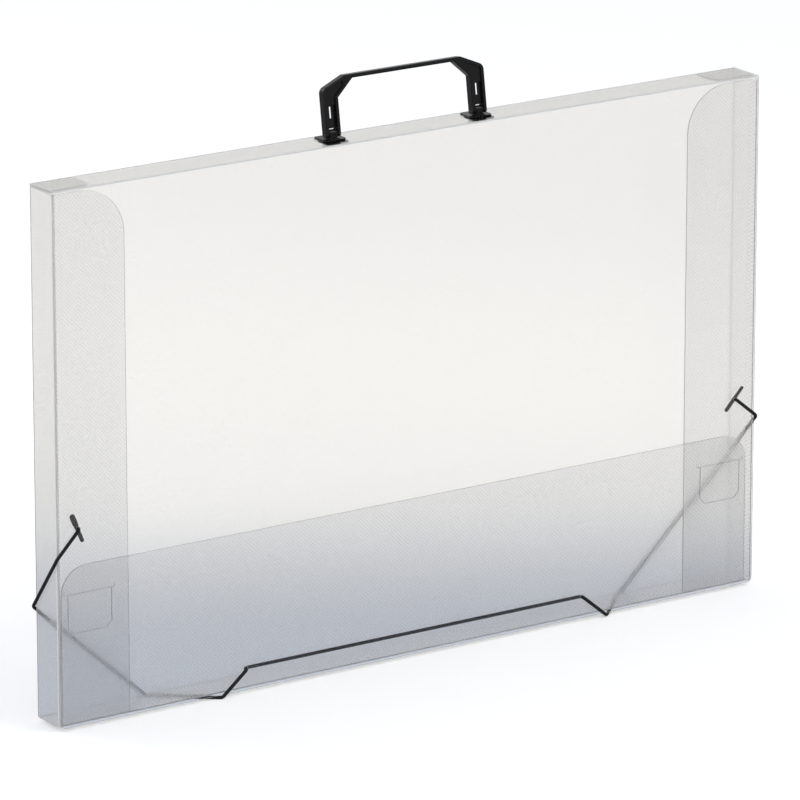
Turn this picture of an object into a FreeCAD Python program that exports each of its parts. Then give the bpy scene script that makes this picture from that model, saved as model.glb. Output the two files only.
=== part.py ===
import FreeCAD, Part
import Sketcher
import math, os, re
from FreeCAD import Vector, Placement, Rotation

# Folding carrying case of translucent sheet: a tray, a spine with a swivelling handle, a front
# cover, a closing flap and one elastic cord. X is the width, the cover faces -Y, Z is up, and
# Z = 0 is the underside of the two elastic runs that pass beneath the case.

doc = FreeCAD.newDocument("PortfolioCase")
sheet_obj = doc.addObject("Spreadsheet::Sheet", "Sizes")

# ---------------------------------------------------------------- driving sizes (mm, degrees)
CELLS = [
    ("case_width", 520.0),
    ("case_height", 335.0),
    ("case_depth", 26.5),
    ("wall", 0.8),                   # thickness of the sheet
    ("crease_gap", 0.15),            # between a crease's bead and the panel that folds on it
    ("layer_gap", 0.2),              # between panels that lie one behind another
    ("side_flap_width", 52.0),
    ("side_flap_corner", 30.0),
    ("side_flap_drop", 1.2),         # side flap's top edge below the tab's underside
    ("closing_flap_height", 100.2),
    ("closing_flap_inset", 4.0),
    ("closing_flap_corner", 18.0),
    ("cover_corner", 4.0),
    ("tab_length", 29.8),
    ("tab_corner", 5.0),
    ("tab_setback", 1.0),            # keeps the tab's root clear of the side wall as it folds
    ("tongue_width", 31.0),
    ("tongue_height", 24.6),
    ("tongue_top", 82.4),
    ("tongue_inset", 8.7),
    ("tongue_corner", 4.0),
    ("kerf", 0.5),
    ("slit_overrun", 2.4),           # slit past each side of the tongue
    ("hook_rise", 2.6),
    ("cord_diameter", 2.2),
    ("cord_seat", 0.05),             # between the cord and what it lies on
    ("cord_bend", 3.0),              # cord's bend radius round an edge
    ("cord_hole_gap", 0.4),          # radial gap of a cord hole
    ("bar_hole_inset", 14.8),
    ("bar_hole_height", 124.5),
    ("pass_hole_inset", 133.5),      # each lower hole from the side of the case
    ("pass_hole_height", 13.8),
    ("side_cross_front", 108.0),     # height at which the cord rounds the cover's side edge
    ("side_cross_back_left", 71.0),  # and the back's side edge, where each side has settled
    ("side_cross_back_right", 80.0),
    ("under_inset_back_left", 78.0),     # where it rounds the bottom edges, from the same side
    ("under_inset_back_right", 87.0),
    ("under_inset_front", 115.5),
    ("bar_length", 20.0),
    ("bar_width", 3.4),
    ("bar_thickness", 2.2),
    ("bar_edge", 0.6),               # bevel round both faces of the bar
    ("bar_tilt_left", 23.0),
    ("bar_tilt_right", 43.0),
    ("handle_lean", 8.5),            # back from upright
    ("pivot_height", 4.2),           # swivel axis above the spine
    ("handle_depth", 5.4),
    ("handle_rise", 34.3),           # swivel axis to the top of the grip
    ("grip_thickness", 2.6),
    ("leg_outer", 59.1),             # leg's outer and inner faces from the middle
    ("leg_inner", 48.5),
    ("leg_shoulder", 27.2),
    ("leg_inner_shoulder", 21.2),
    ("grip_outer", 42.5),
    ("grip_inner", 37.2),
    ("shoulder_round", 4.5),         # where the leg turns into the gusset
    ("grip_round", 3.0),             # where the gusset turns into the grip
    ("handle_edge", 0.5),            # round along the edges of both faces
    ("rib", 2.2),
    ("slope_rib", 3.1),              # rib along the gusset's inner slope, measured level
    ("rim_drop", 2.5),
    ("web", 1.6),                    # between the ribs of a leg
    ("gusset_web", 3.4),             # between the ribs of a gusset
    ("web_gap", 0.5),                # between the web's foot and the lug
    ("recess_end", 44.5),
    ("web_slot_width", 1.8),
    ("web_slot_height", 7.2),
    ("web_slot_start", 9.0),
    ("channel_lip", 0.8),            # from the web's slot up to the step of the gusset
    ("pin_radius", 1.2),
    ("pin_gap", 0.06),
    ("lug_radius", 2.4),
    ("lug_side_gap", 0.4),
    ("anchor_width", 16.0),
    ("anchor_plate", 1.0),
    ("anchor_back_margin", 4.25),    # from the plate above the spine to the back of the case
    ("anchor_front_margin", 5.0),    # from the plate beneath the spine to the front
    ("anchor_lap", 5.0),             # each plate's other edge, past the slot
    ("anchor_corner", 2.5),
    ("neck_width", 12.0),
    ("neck_thickness", 1.6),
    ("neck_gap", 0.1),
]
for row, (alias, number) in enumerate(CELLS, start=1):
    sheet_obj.set(f"A{row}", alias)
    sheet_obj.set(f"B{row}", str(number))
    sheet_obj.setAlias(f"B{row}", alias)
doc.recompute()
VALUE = {alias: float(sheet_obj.get(alias)) for alias, _ in CELLS}

# ---------------------------------------------------------------- places worked out from them
# Each is an expression in the sizes above, so a change of size moves everything that uses it.
PLACES = {
    "half_width": "(case_width/2)",
    "lift": "(cord_diameter+cord_seat)",
    "cover_front": "(-case_depth/2)",
    "cover_back": "(cover_front+wall)",
    "flap_front": "(cover_back+cord_diameter+2*layer_gap)",
    "flap_back": "(flap_front+wall)",
    "flap_fold": "(flap_front+wall/2)",
    "side_front": "(flap_back+layer_gap)",
    "side_back": "(side_front+wall)",
    "back_front": "(case_depth/2-wall)",
    "back_fold": "(case_depth/2-wall/2)",
    "cover_fold": "(cover_front+wall/2)",
    "case_top": "(lift+case_height)",
    "top_fold": "(case_top-wall/2)",
    "floor_fold": "(lift+wall/2)",
    "fold_reach": "(wall/2+crease_gap)",
    "tab_fold": "(case_top-wall-layer_gap-wall/2)",
    "side_fold": "(half_width-wall/2)",
    "side_flap_top": "(tab_fold-wall/2-side_flap_drop)",
    "tongue_out": "(half_width-tongue_inset)",
    "tongue_in": "(tongue_out-tongue_width)",
    "pass_hole_spread": "(half_width-pass_hole_inset)",
    "leg_middle": "((leg_outer+leg_inner)/2)",
    "pivot": "(case_top+pivot_height)",
    "cord_radius": "(cord_diameter/2)",
    "cord_off": "(cord_radius+cord_seat)",
    "hole_radius": "(cord_radius+cord_hole_gap)",
    "slot_top": "(lift+tongue_top)",
    "grip_underside": "(handle_rise-grip_thickness)",
    "anchor_back": "(case_depth/2-anchor_back_margin)",
    "anchor_front": "(case_depth/2-anchor_front_margin)",
    "leg_end_round": "(handle_depth/2)",
    "web_start": "(lug_radius+web_gap)",
    "channel_top": "(web_slot_start+web_slot_height+channel_lip)",
}


def spell(text):
    """An expression with each place written out in the sheet's cells."""
    for _ in range(8):
        text = re.sub(r"\b[a-z_]+\b", lambda w: PLACES.get(w[0], w[0]), text)
    return re.sub(r"\b[a-z_]+\b", lambda w: f"Sizes.{w[0]}" if w[0] in VALUE else w[0], text)


def size(text):
    """The same expression as a number."""
    plain = spell(text).replace("Sizes.", "")
    return _parse(re.findall(r"[a-z_]+|[0-9.]+|[-+*/()]", plain), 0)[0]


def _parse(tokens, at):
    """Sum of products by recursive descent: the value and the next token's place."""
    value, at = _product(tokens, at)
    while at < len(tokens) and tokens[at] in "+-":
        sign = 1 if tokens[at] == "+" else -1
        more, at = _product(tokens, at + 1)
        value += sign * more
    return value, at


def _product(tokens, at):
    value, at = _factor(tokens, at)
    while at < len(tokens) and tokens[at] in "*/":
        times = tokens[at] == "*"
        more, at = _factor(tokens, at + 1)
        value = value * more if times else value / more
    return value, at


def _factor(tokens, at):
    if tokens[at] == "-":
        value, at = _factor(tokens, at + 1)
        return -value, at
    if tokens[at] == "(":
        value, at = _parse(tokens, at + 1)
        return value, at + 1
    token = tokens[at]
    return (VALUE[token] if token in VALUE else float(token)), at + 1


def bind(obj, **sizes):
    """Binds properties to expressions: x, y and z are the placement's."""
    names = {"x": "Placement.Base.x", "y": "Placement.Base.y", "z": "Placement.Base.z"}
    for name, text in sizes.items():
        obj.setExpression(names.get(name, name), spell(text))


def box(name, x, y, z, dx, dy, dz):
    solid = doc.addObject("Part::Box", name)
    bind(solid, Length=dx, Width=dy, Height=dz, x=x, y=y, z=z)
    return solid


def rod(name, along, x, y, z, radius, length):
    """A round bar from x, y, z along X, Y or Z."""
    turn = {"X": Rotation(Vector(0, 1, 0), 90), "Y": Rotation(Vector(1, 0, 0), -90), "Z": Rotation()}
    bar = doc.addObject("Part::Cylinder", name)
    bar.Placement = Placement(Vector(), turn[along])
    bind(bar, Radius=radius, Height=length, x=x, y=y, z=z)
    return bar


def fuse(name, parts):
    joined = doc.addObject("Part::MultiFuse", name)
    joined.Shapes = parts
    joined.Refine = True
    return joined


def cut(name, base, tool):
    rest = doc.addObject("Part::Cut", name)
    rest.Base, rest.Tool = base, tool
    rest.Refine = True
    return rest


def plane(body, role):
    return next(f for f in body.Origin.OriginFeatures if f.Role == role)


def start_sketch(body, name, role, shift="0"):
    """A sketch on one of the body's origin planes, moved along the plane's normal."""
    sketch = body.newObject("Sketcher::SketchObject", name)
    sketch.AttachmentSupport = [(plane(body, role), "")]
    sketch.MapMode = "FlatFace"
    sketch.setExpression(".AttachmentOffset.Base.z", spell(shift))
    return sketch


def hold_along(sketch, geometry, point, kind, text):
    """Holds a point of the sketch at an expression, along DistanceX or DistanceY."""
    number = sketch.addConstraint(Sketcher.Constraint(kind, -1, 1, geometry, point, size(text)))
    sketch.setExpression(f"Constraints[{number}]", spell(text))


def hold(sketch, geometry, point, x, y):
    """Holds a point of the sketch at two expressions."""
    hold_along(sketch, geometry, point, "DistanceX", x)
    hold_along(sketch, geometry, point, "DistanceY", y)


def polygon(sketch, corners):
    """A closed outline with every corner held by a pair of expressions."""
    at = [Vector(size(x), size(y), 0) for x, y in corners]
    first = sketch.GeometryCount
    for a, b in zip(at, at[1:] + at[:1]):
        sketch.addGeometry(Part.LineSegment(a, b), False)
    for n, (x, y) in enumerate(corners):
        before = first + (n - 1) % len(corners)
        sketch.addConstraint(Sketcher.Constraint("Coincident", before, 2, first + n, 1))
        hold(sketch, first + n, 1, x, y)


def circle(sketch, x, y, radius):
    n = sketch.addGeometry(Part.Circle(Vector(size(x), size(y), 0), Vector(0, 0, 1), size(radius)))
    hold(sketch, n, 3, x, y)
    number = sketch.addConstraint(Sketcher.Constraint("Radius", n, size(radius)))
    sketch.setExpression(f"Constraints[{number}]", spell(radius))


def pad(body, name, sketch, length, both=False, back=False):
    feature = body.newObject("PartDesign::Pad", name)
    feature.Profile = sketch
    feature.Midplane = both
    feature.Reversed = back
    bind(feature, Length=length)
    doc.recompute()
    return feature


def pocket(body, name, sketch, length, both=False, back=False):
    """A pocket that must take something away."""
    before = body.Shape.Volume
    feature = body.newObject("PartDesign::Pocket", name)
    feature.Profile = sketch
    feature.Midplane = both
    feature.Reversed = back
    bind(feature, Length=length)
    doc.recompute()
    if body.Shape.Volume > before - 1e-6:
        raise ValueError(f"{body.Label}: {name} cuts nothing")
    return feature


def dressed(body, kind, name, wanted, **sizes):
    """A fillet or chamfer on the edges that wanted(edge) picks."""
    base = body.Tip
    edges = [f"Edge{n}" for n, e in enumerate(base.Shape.Edges, start=1) if wanted(e)]
    feature = body.newObject(f"PartDesign::{kind}", name)
    feature.Base = (base, edges)
    bind(feature, **sizes)
    doc.recompute()
    return feature


def rounded(body, name, wanted, radius):
    return dressed(body, "Fillet", name, wanted, Radius=radius)


def upright_at(x, z, along=Vector(0, 1, 0)):
    """Picks straight edges along a direction whose X and Z are the given ones."""
    def wanted(edge):
        middle = edge.CenterOfMass
        straight = edge.Curve.TypeId == "Part::GeomLine"
        here = abs(middle.x - x) < 1e-3 and abs(middle.z - z) < 1e-3
        return straight and here and abs(edge.tangentAt(edge.FirstParameter).dot(along)) > 0.999
    return wanted


SIDES = (("left", -1), ("right", 1))


def mirrored(text, side):
    return text if side > 0 else f"(-({text}))"


# ---------------------------------------------------------------- the tray
def make_back_panel():
    """Back sheet from the bottom wall up to the bead that the spine folds on."""
    panel = box("BackSheet", "-half_width", "back_front", "lift+wall",
                "case_width", "wall", "case_height-wall-wall/2")
    bead = rod("BackBead", "X", "-half_width", "back_fold", "top_fold", "wall/2", "case_width")
    return fuse("back_panel", [panel, bead])


def make_bottom_wall():
    """Bottom sheet, from the back to the bead that the closing flap folds on."""
    panel = box("BottomSheet", "-half_width", "flap_fold", "lift",
                "case_width", "case_depth/2-flap_fold", "wall")
    bead = rod("BottomBead", "X", "-half_width", "flap_fold", "floor_fold", "wall/2", "case_width")
    return fuse("bottom_wall", [panel, bead])


def make_side_wall(name, side):
    """Side sheet between the side flap and the back, with the tab's fold along its top."""
    outer = "-half_width" if side < 0 else "half_width-wall"
    depth = "back_front-side_back"
    panel = box(f"SideSheet_{name}", outer, "side_back", "lift+wall",
                "wall", depth, "tab_fold-lift-wall")
    bead = rod(f"SideBead_{name}", "Y", mirrored("side_fold", side), "side_back", "tab_fold",
               "wall/2", depth)
    return fuse(f"side_wall_{name}", [panel, bead])


def make_side_flap(name, side):
    """Front flap of a side wall: a big round at its top, and the slit for the tongue's edge."""
    body = doc.addObject("PartDesign::Body", f"side_flap_{name}")
    outline = start_sketch(body, "FlapOutline", "XZ_Plane", "-side_back")
    inner = "half_width-side_flap_width"
    low, high = "lift+wall+layer_gap", "side_flap_top"
    polygon(outline, [(mirrored("half_width", side), low), (mirrored(inner, side), low),
                      (mirrored(inner, side), high), (mirrored("half_width", side), high)])
    pad(body, "FlapSheet", outline, "wall")
    rounded(body, "FlapCorner", upright_at(side * size(inner), size(high)), "side_flap_corner")

    slit = start_sketch(body, "SlitOutline", "XZ_Plane", "-side_back")
    a, b = "tongue_in-slit_overrun", "tongue_out+slit_overrun"
    base, top, peak = "slot_top", "slot_top+kerf", "slot_top+hook_rise"
    hook = [(a, base), (b, base), (b, peak), (b + "-kerf", peak), (b + "-kerf", top),
            (a + "+kerf", top), (a + "+kerf", peak), (a, peak)]
    polygon(slit, [(mirrored(x, side), z) for x, z in hook])
    pocket(body, "Slit", slit, "wall", back=True)
    return body


def make_top_tab(name, side):
    """Tab folded in from the top of a side wall, with its front corner rounded."""
    body = doc.addObject("PartDesign::Body", f"top_tab_{name}")
    outline = start_sketch(body, "TabOutline", "XY_Plane", "tab_fold-wall/2")
    root, end = "side_fold-tab_setback", "half_width-tab_length"
    front, back = "side_back+layer_gap", "back_front-layer_gap"
    polygon(outline, [(mirrored(root, side), front), (mirrored(end, side), front),
                      (mirrored(end, side), back), (mirrored(root, side), back)])
    pad(body, "TabSheet", outline, "wall")
    middle = size("tab_fold")

    def corner(edge):
        at = edge.CenterOfMass
        return abs(at.x - side * size(end)) < 1e-3 and abs(at.y - size(front)) < 1e-3 \
            and abs(at.z - middle) < 1e-3
    rounded(body, "TabCorner", corner, "tab_corner")
    return body


def make_closing_flap():
    """Flap that folds up from the bottom wall, with a cut-out tongue near each end."""
    body = doc.addObject("PartDesign::Body", "closing_flap")
    outline = start_sketch(body, "FlapOutline", "XZ_Plane", "-flap_back")
    reach = "half_width-closing_flap_inset"
    low, high = "floor_fold+fold_reach", "lift+closing_flap_height"
    polygon(outline, [(f"-({reach})", low), (reach, low), (reach, high), (f"-({reach})", high)])
    pad(body, "FlapSheet", outline, "wall")
    for name, side in SIDES:
        rounded(body, f"FlapCorner_{name}", upright_at(side * size(reach), size(high)),
                "closing_flap_corner")
    for name, side in SIDES:
        make_tongue_cut(body, name, side)
    return body


def make_tongue_cut(body, name, side):
    """U-shaped kerf round three sides of a tongue, its lower corners cut across."""
    cutline = start_sketch(body, f"TongueOutline_{name}", "XZ_Plane", "-flap_back")
    foot = "slot_top-tongue_height"
    a, b, c = "tongue_in", "tongue_out", "tongue_corner"
    outer = [(a, "slot_top"), (a, f"{foot}+{c}"), (f"{a}+{c}", foot), (f"{b}-{c}", foot),
             (b, f"{foot}+{c}"), (b, "slot_top")]
    trim = "kerf*0.4142"    # tan(22.5 deg): a kerf of even width round a corner cut at 45 degrees
    inner = [(f"{b}-kerf", "slot_top"), (f"{b}-kerf", f"{foot}+{c}+{trim}"),
             (f"{b}-{c}-{trim}", f"{foot}+kerf"), (f"{a}+{c}+{trim}", f"{foot}+kerf"),
             (f"{a}+kerf", f"{foot}+{c}+{trim}"), (f"{a}+kerf", "slot_top")]
    polygon(cutline, [(mirrored(x, side), z) for x, z in outer + inner])
    pocket(body, f"TongueCut_{name}", cutline, "wall", back=True)


# ---------------------------------------------------------------- spine, handle anchors, cover
def make_spine():
    """Top sheet from the back fold to the bead that the cover folds on, slotted for the anchors."""
    panel = box("SpineSheet", "-half_width", "cover_fold", "case_top-wall",
                "case_width", "back_fold-fold_reach-cover_fold", "wall")
    bead = rod("SpineBead", "X", "-half_width", "cover_fold", "top_fold", "wall/2", "case_width")
    whole = fuse("SpineWhole", [panel, bead])
    slots = [
        box(f"AnchorSlot_{name}", mirrored("leg_middle", side) + "-neck_width/2-neck_gap",
            "-neck_thickness/2-neck_gap", "case_top-2*wall",
            "neck_width+2*neck_gap", "neck_thickness+2*neck_gap", "3*wall")
        for name, side in SIDES
    ]
    return cut("spine_panel", whole, fuse("AnchorSlots", slots))


def make_anchor(name, side):
    """Foot of the handle: a plate above the spine and one beneath it grip the sheet, a neck joins
    them through the slot, and a lug on top carries the pin. The upper plate reaches further
    back and the lower one further forward, against the pull of the handle as it leans."""
    body = doc.addObject("PartDesign::Body", f"handle_anchor_{name}")
    middle = mirrored("leg_middle", side)

    upper = start_sketch(body, "UpperOutline", "XY_Plane", "case_top")
    polygon(upper, rectangle(middle, "anchor_width", "-anchor_lap", "anchor_back"))
    pad(body, "UpperPlate", upper, "anchor_plate")
    neck = start_sketch(body, "NeckOutline", "XY_Plane", "case_top-wall-anchor_plate")
    polygon(neck, rectangle(middle, "neck_width", "-neck_thickness/2", "neck_thickness/2"))
    pad(body, "Neck", neck, "wall+anchor_plate*2")
    lower = start_sketch(body, "LowerOutline", "XY_Plane", "case_top-wall-anchor_plate")
    polygon(lower, rectangle(middle, "anchor_width", "-anchor_front", "anchor_lap"))
    pad(body, "LowerPlate", lower, "anchor_plate")

    lug_width = "leg_outer-leg_inner-2*rib-2*lug_side_gap"
    lug = start_sketch(body, "LugOutline", "YZ_Plane", f"{middle}-({lug_width})/2")
    lug_profile(lug, "case_top+anchor_plate/2", "pivot", "lug_radius")
    pad(body, "Lug", lug, lug_width)
    bore = start_sketch(body, "BoreOutline", "YZ_Plane", f"{middle}-({lug_width})/2")
    circle(bore, "0", "pivot", "pin_radius+pin_gap")
    pocket(body, "PinBore", bore, lug_width, back=True)

    x = size(middle)
    half = size("anchor_width/2")
    ends = [size(y) for y in ("-anchor_lap", "anchor_back", "-anchor_front", "anchor_lap")]

    def plate_corner(edge):
        at = edge.CenterOfMass
        return abs(abs(at.x - x) - half) < 1e-3 and min(abs(at.y - y) for y in ends) < 1e-3
    rounded(body, "PlateCorners", plate_corner, "anchor_corner")
    return body


def rectangle(middle, width, front, back):
    """Corners of a rectangle centred on middle in X."""
    a, b = f"{middle}-({width})/2", f"{middle}+({width})/2"
    return [(a, front), (b, front), (b, back), (a, back)]


def lug_profile(sketch, low, centre, radius):
    """An upright tongue with a half-round top, about Y = 0."""
    r, z0, z1 = size(radius), size(low), size(centre)
    a, b, c, d = Vector(-r, z1, 0), Vector(-r, z0, 0), Vector(r, z0, 0), Vector(r, z1, 0)
    sketch.addGeometry([Part.LineSegment(a, b), Part.LineSegment(b, c), Part.LineSegment(c, d)])
    ring = Part.Circle(Vector(0, z1, 0), Vector(0, 0, 1), r)
    sketch.addGeometry(Part.ArcOfCircle(ring, 0, math.pi))
    for one, other in (((0, 2), (1, 1)), ((1, 2), (2, 1)), ((2, 2), (3, 1)), ((3, 2), (0, 1))):
        sketch.addConstraint(Sketcher.Constraint("Coincident", *one, *other))
    hold(sketch, 1, 1, f"-({radius})", low)
    hold(sketch, 1, 2, radius, low)
    hold(sketch, 0, 1, f"-({radius})", centre)
    hold(sketch, 2, 2, radius, centre)
    hold_along(sketch, 3, 3, "DistanceY", centre)


def make_front_cover():
    """Front sheet that hangs from the spine, with round lower corners and four cord holes."""
    body = doc.addObject("PartDesign::Body", "front_cover")
    outline = start_sketch(body, "CoverOutline", "XZ_Plane", "-cover_back")
    low, high = "lift", "top_fold-fold_reach"
    polygon(outline, [("-half_width", low), ("half_width", low),
                      ("half_width", high), ("-half_width", high)])
    pad(body, "CoverSheet", outline, "wall")
    for name, side in SIDES:
        rounded(body, f"CoverCorner_{name}", upright_at(side * size("half_width"), size(low)),
                "cover_corner")
    holes = start_sketch(body, "CordHoles", "XZ_Plane", "-cover_back")
    for name, side in SIDES:
        circle(holes, mirrored("half_width-bar_hole_inset", side), "lift+bar_hole_height",
               "hole_radius")
        circle(holes, mirrored("pass_hole_spread", side), "lift+pass_hole_height", "hole_radius")
    pocket(body, "Holes", holes, "wall", back=True)
    return body


# ---------------------------------------------------------------- handle
def make_handle():
    """One-piece moulded bail: a flat grip, gusseted corners, and legs whose ribs stand on both
    sides of a thin slotted web. It is drawn upright about its pin and then leaned back."""
    body = doc.addObject("PartDesign::Body", "handle")
    outline = start_sketch(body, "BailOutline", "XZ_Plane")
    right = [("leg_inner", "-leg_end_round"), ("leg_outer", "-leg_end_round"),
             ("leg_outer", "leg_shoulder"), ("grip_outer", "handle_rise")]
    under = [("grip_inner", "grip_underside"), ("leg_inner", "leg_inner_shoulder")]
    left = [(f"-{x}", z) for x, z in reversed(right)]
    polygon(outline, right + left + [(f"-{x}", z) for x, z in reversed(under)] + under)
    pad(body, "Bail", outline, "handle_depth", both=True)

    for name, side in SIDES:
        x = side * size("leg_outer")
        rounded(body, f"Shoulder_{name}", upright_at(x, size("leg_shoulder")), "shoulder_round")
        x = side * size("grip_outer")
        rounded(body, f"Bend_{name}", upright_at(x, size("handle_rise")), "grip_round")
    face = size("handle_depth/2")
    rounded(body, "FaceEdges", lambda e: abs(abs(e.CenterOfMass.y) - face) < 1e-3, "handle_edge")
    round_leg_ends(body)
    for name, side in SIDES:
        recess_leg(body, name, side)
    add_pins(body)

    body.Placement = Placement(Vector(), Rotation(Vector(-1, 0, 0), size("handle_lean")))
    bind(body, z="pivot")
    body.setExpression("Placement.Rotation.Angle", spell("handle_lean"))
    return body


def round_leg_ends(body):
    """Leg ends rounded about the swivel axis, by cutting away all that is outside the round."""
    side_view = start_sketch(body, "EndRound", "YZ_Plane")
    r = size("leg_end_round")
    deep = "-(leg_end_round+1)"
    wide = "(handle_depth/2+1)"
    z0, y1 = size(deep), size(wide)
    for n, sign in enumerate((-1, 1)):
        first = side_view.GeometryCount
        a, b = Vector(sign * y1, 0, 0), Vector(sign * y1, z0, 0)
        c, d = Vector(0, z0, 0), Vector(0, -r, 0)
        e = Vector(sign * r, 0, 0)
        for p, q in ((e, a), (a, b), (b, c), (c, d)):
            side_view.addGeometry(Part.LineSegment(p, q))
        ring = Part.Circle(Vector(), Vector(0, 0, 1), r)
        start, end = (math.pi, 1.5 * math.pi) if sign < 0 else (1.5 * math.pi, 2 * math.pi)
        side_view.addGeometry(Part.ArcOfCircle(ring, start, end))
        for k in range(3):
            side_view.addConstraint(Sketcher.Constraint("Coincident", first + k, 2, first + k + 1, 1))
        arc = first + 4
        low_end, high_end = (2, 1) if sign < 0 else (1, 2)
        side_view.addConstraint(Sketcher.Constraint("Coincident", first + 3, 2, arc, low_end))
        side_view.addConstraint(Sketcher.Constraint("Coincident", first, 1, arc, high_end))
        signed = (lambda text: text) if sign > 0 else (lambda text: f"-({text})")
        hold(side_view, first, 1, signed("leg_end_round"), "0")
        hold(side_view, first, 2, signed(wide), "0")
        hold(side_view, first + 1, 2, signed(wide), deep)
        hold(side_view, first + 2, 2, "0", deep)
        hold(side_view, first + 3, 2, "0", "-leg_end_round")
        hold_along(side_view, arc, 3, "DistanceX", "0")
    pocket(body, "LegEnds", side_view, "2*leg_outer+2", both=True)


def recess_leg(body, name, side):
    """Cuts the leg and its gusset back to their webs on both faces, then slots the leg's web.
    The gusset's web is the thicker one, so a step crosses the leg above the slot."""
    a, b = "leg_inner+rib", "leg_outer-rib"
    outer_rise = "((handle_rise-leg_shoulder)/(leg_outer-grip_outer))"
    inner_rise = "((grip_underside-leg_inner_shoulder)/(leg_inner-grip_inner))"
    rim = f"leg_shoulder-rim_drop+(leg_outer-({{x}}))*{outer_rise}"
    inside = f"leg_inner_shoulder+(leg_inner+slope_rib-({{x}}))*{inner_rise}"
    foot = "-(leg_end_round+1)"
    channel = [(a, foot), (b, foot), (b, "channel_top"), (a, "channel_top")]
    gusset = [(a, "channel_top"), (b, "channel_top"), (b, rim.format(x=b)),
              ("recess_end", rim.format(x="recess_end")),
              ("recess_end", inside.format(x="recess_end")), (a, inside.format(x=a))]
    for part, shape, web in (("Channel", channel, "web"), ("Gusset", gusset, "gusset_web")):
        for face, shift, back in (("front", f"{web}/2", True), ("rear", f"-{web}/2", False)):
            sketch = start_sketch(body, f"{part}_{name}_{face}", "XZ_Plane", shift)
            polygon(sketch, [(mirrored(x, side), z) for x, z in shape])
            pocket(body, f"{part}Cut_{name}_{face}", sketch, "handle_depth", back=back)
    through = [("leg_middle-web_slot_width/2", "web_slot_start"),
               ("leg_middle+web_slot_width/2", "web_slot_start"),
               ("leg_middle+web_slot_width/2", "web_slot_start+web_slot_height"),
               ("leg_middle-web_slot_width/2", "web_slot_start+web_slot_height")]
    slot = start_sketch(body, f"WebSlot_{name}", "XZ_Plane")
    polygon(slot, [(mirrored(x, side), z) for x, z in through])
    pocket(body, f"WebSlotCut_{name}", slot, "web*2", both=True)
    gap = [(a, foot), (b, foot), (b, "web_start"), (a, "web_start")]
    fork = start_sketch(body, f"Fork_{name}", "XZ_Plane")
    polygon(fork, [(mirrored(x, side), z) for x, z in gap])
    pocket(body, f"ForkCut_{name}", fork, "handle_depth", both=True)


def add_pins(body):
    """A pin across each fork, moulded in one with the ribs."""
    for name, side in SIDES:
        start = "leg_inner+rib/2" if side > 0 else "-leg_outer+rib/2"
        pin = start_sketch(body, f"PinOutline_{name}", "YZ_Plane", start)
        circle(pin, "0", "0", "pin_radius")
        pad(body, f"Pin_{name}", pin, "leg_outer-leg_inner-rib")


# ---------------------------------------------------------------- elastic
def bent_wire(corners):
    """A wire through (point, bend radius) corners: true arcs, and sharp turns where it is 0."""
    points = [p for p, _ in corners]
    edges, last = [], points[0]
    for n in range(1, len(corners) - 1):
        radius = corners[n][1]
        if radius == 0:
            edges.append(Part.LineSegment(last, points[n]).toShape())
            last = points[n]
            continue
        before = (points[n - 1] - points[n]).normalize()
        after = (points[n + 1] - points[n]).normalize()
        half = before.getAngle(after) / 2
        run = radius / math.tan(half)
        enter, leave = points[n] + before * run, points[n] + after * run
        inward = (before + after).normalize()
        middle = points[n] + inward * (radius / math.sin(half) - radius)
        edges += [Part.LineSegment(last, enter).toShape(), Part.Arc(enter, middle, leave).toShape()]
        last = leave
    edges.append(Part.LineSegment(last, points[-1]).toShape())
    return Part.Wire(edges)


def cord(name, corners):
    """Round cord swept along a bent wire, and mitred where the wire turns sharply."""
    wire = bent_wire(corners)
    route = doc.addObject("Part::Feature", f"Route_{name}")
    route.Shape = wire
    start = wire.Edges[0]
    along = start.tangentAt(start.FirstParameter)
    ring = doc.addObject("Part::Circle", f"Ring_{name}")
    ring.Placement = Placement(corners[0][0], Rotation(Vector(0, 0, 1), along))
    bind(ring, Radius="cord_radius")
    swept = doc.addObject("Part::Sweep", name)
    swept.Sections = [ring]
    swept.Spine = (route, [f"Edge{n}" for n in range(1, len(wire.Edges) + 1)])
    swept.Solid = True
    swept.Frenet = False
    swept.Transition = "Right corner"
    return swept


def make_elastic():
    """One cord in five lengths: behind the cover, round each corner, and beneath each end. It
    bends round the folded edges and turns sharply over the thin sheet at a hole."""
    v = size
    off = v("cord_off")
    front, back = v("cover_front") - off, v("case_depth/2") + off
    behind = v("cover_back") + off
    under, side_out = v("lift") - off, v("half_width") + off
    bend, sharp = v("cord_bend"), 0
    pass_z, bar_z = v("lift+pass_hole_height"), v("lift+bar_hole_height")
    pieces = []
    ends = {}
    for name, side in SIDES:
        bar_x = side * v("half_width-bar_hole_inset")
        hole_x = side * v("pass_hole_spread")
        edge_back = Vector(side * v(f"half_width-under_inset_back_{name}"), back, under)
        edge_front = Vector(side * v("half_width-under_inset_front"), front, under)
        level = (edge_front - edge_back).normalize()
        # the length beneath stops short of both bends and lies wholly under the bottom wall
        reach = v("cord_diameter")
        rear_cut = edge_back + level * (reach / abs(level.y))
        fore_cut = edge_front - level * (reach / abs(level.y))
        pieces.append(cord(f"elastic_under_{name}", [(rear_cut, 0), (fore_cut, 0)]))
        pieces.append(cord(f"elastic_corner_{name}", [
            (Vector(bar_x, v("cover_back"), bar_z), 0),
            (Vector(bar_x, front, bar_z), sharp),
            (Vector(side * side_out, front, v("lift+side_cross_front")), bend),
            (Vector(side * side_out, back, v(f"lift+side_cross_back_{name}")), bend),
            (edge_back, bend),
            (rear_cut, 0),
        ]))
        ends[side] = (fore_cut, edge_front, Vector(hole_x, front, pass_z),
                      Vector(hole_x, behind, pass_z))
    left, right = ends[-1], ends[1]
    pieces.append(cord("elastic_middle", [
        (left[0], 0), (left[1], bend), (left[2], sharp), (left[3], sharp),
        (right[3], sharp), (right[2], sharp), (right[1], bend), (right[0], 0),
    ]))
    return pieces


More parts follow.
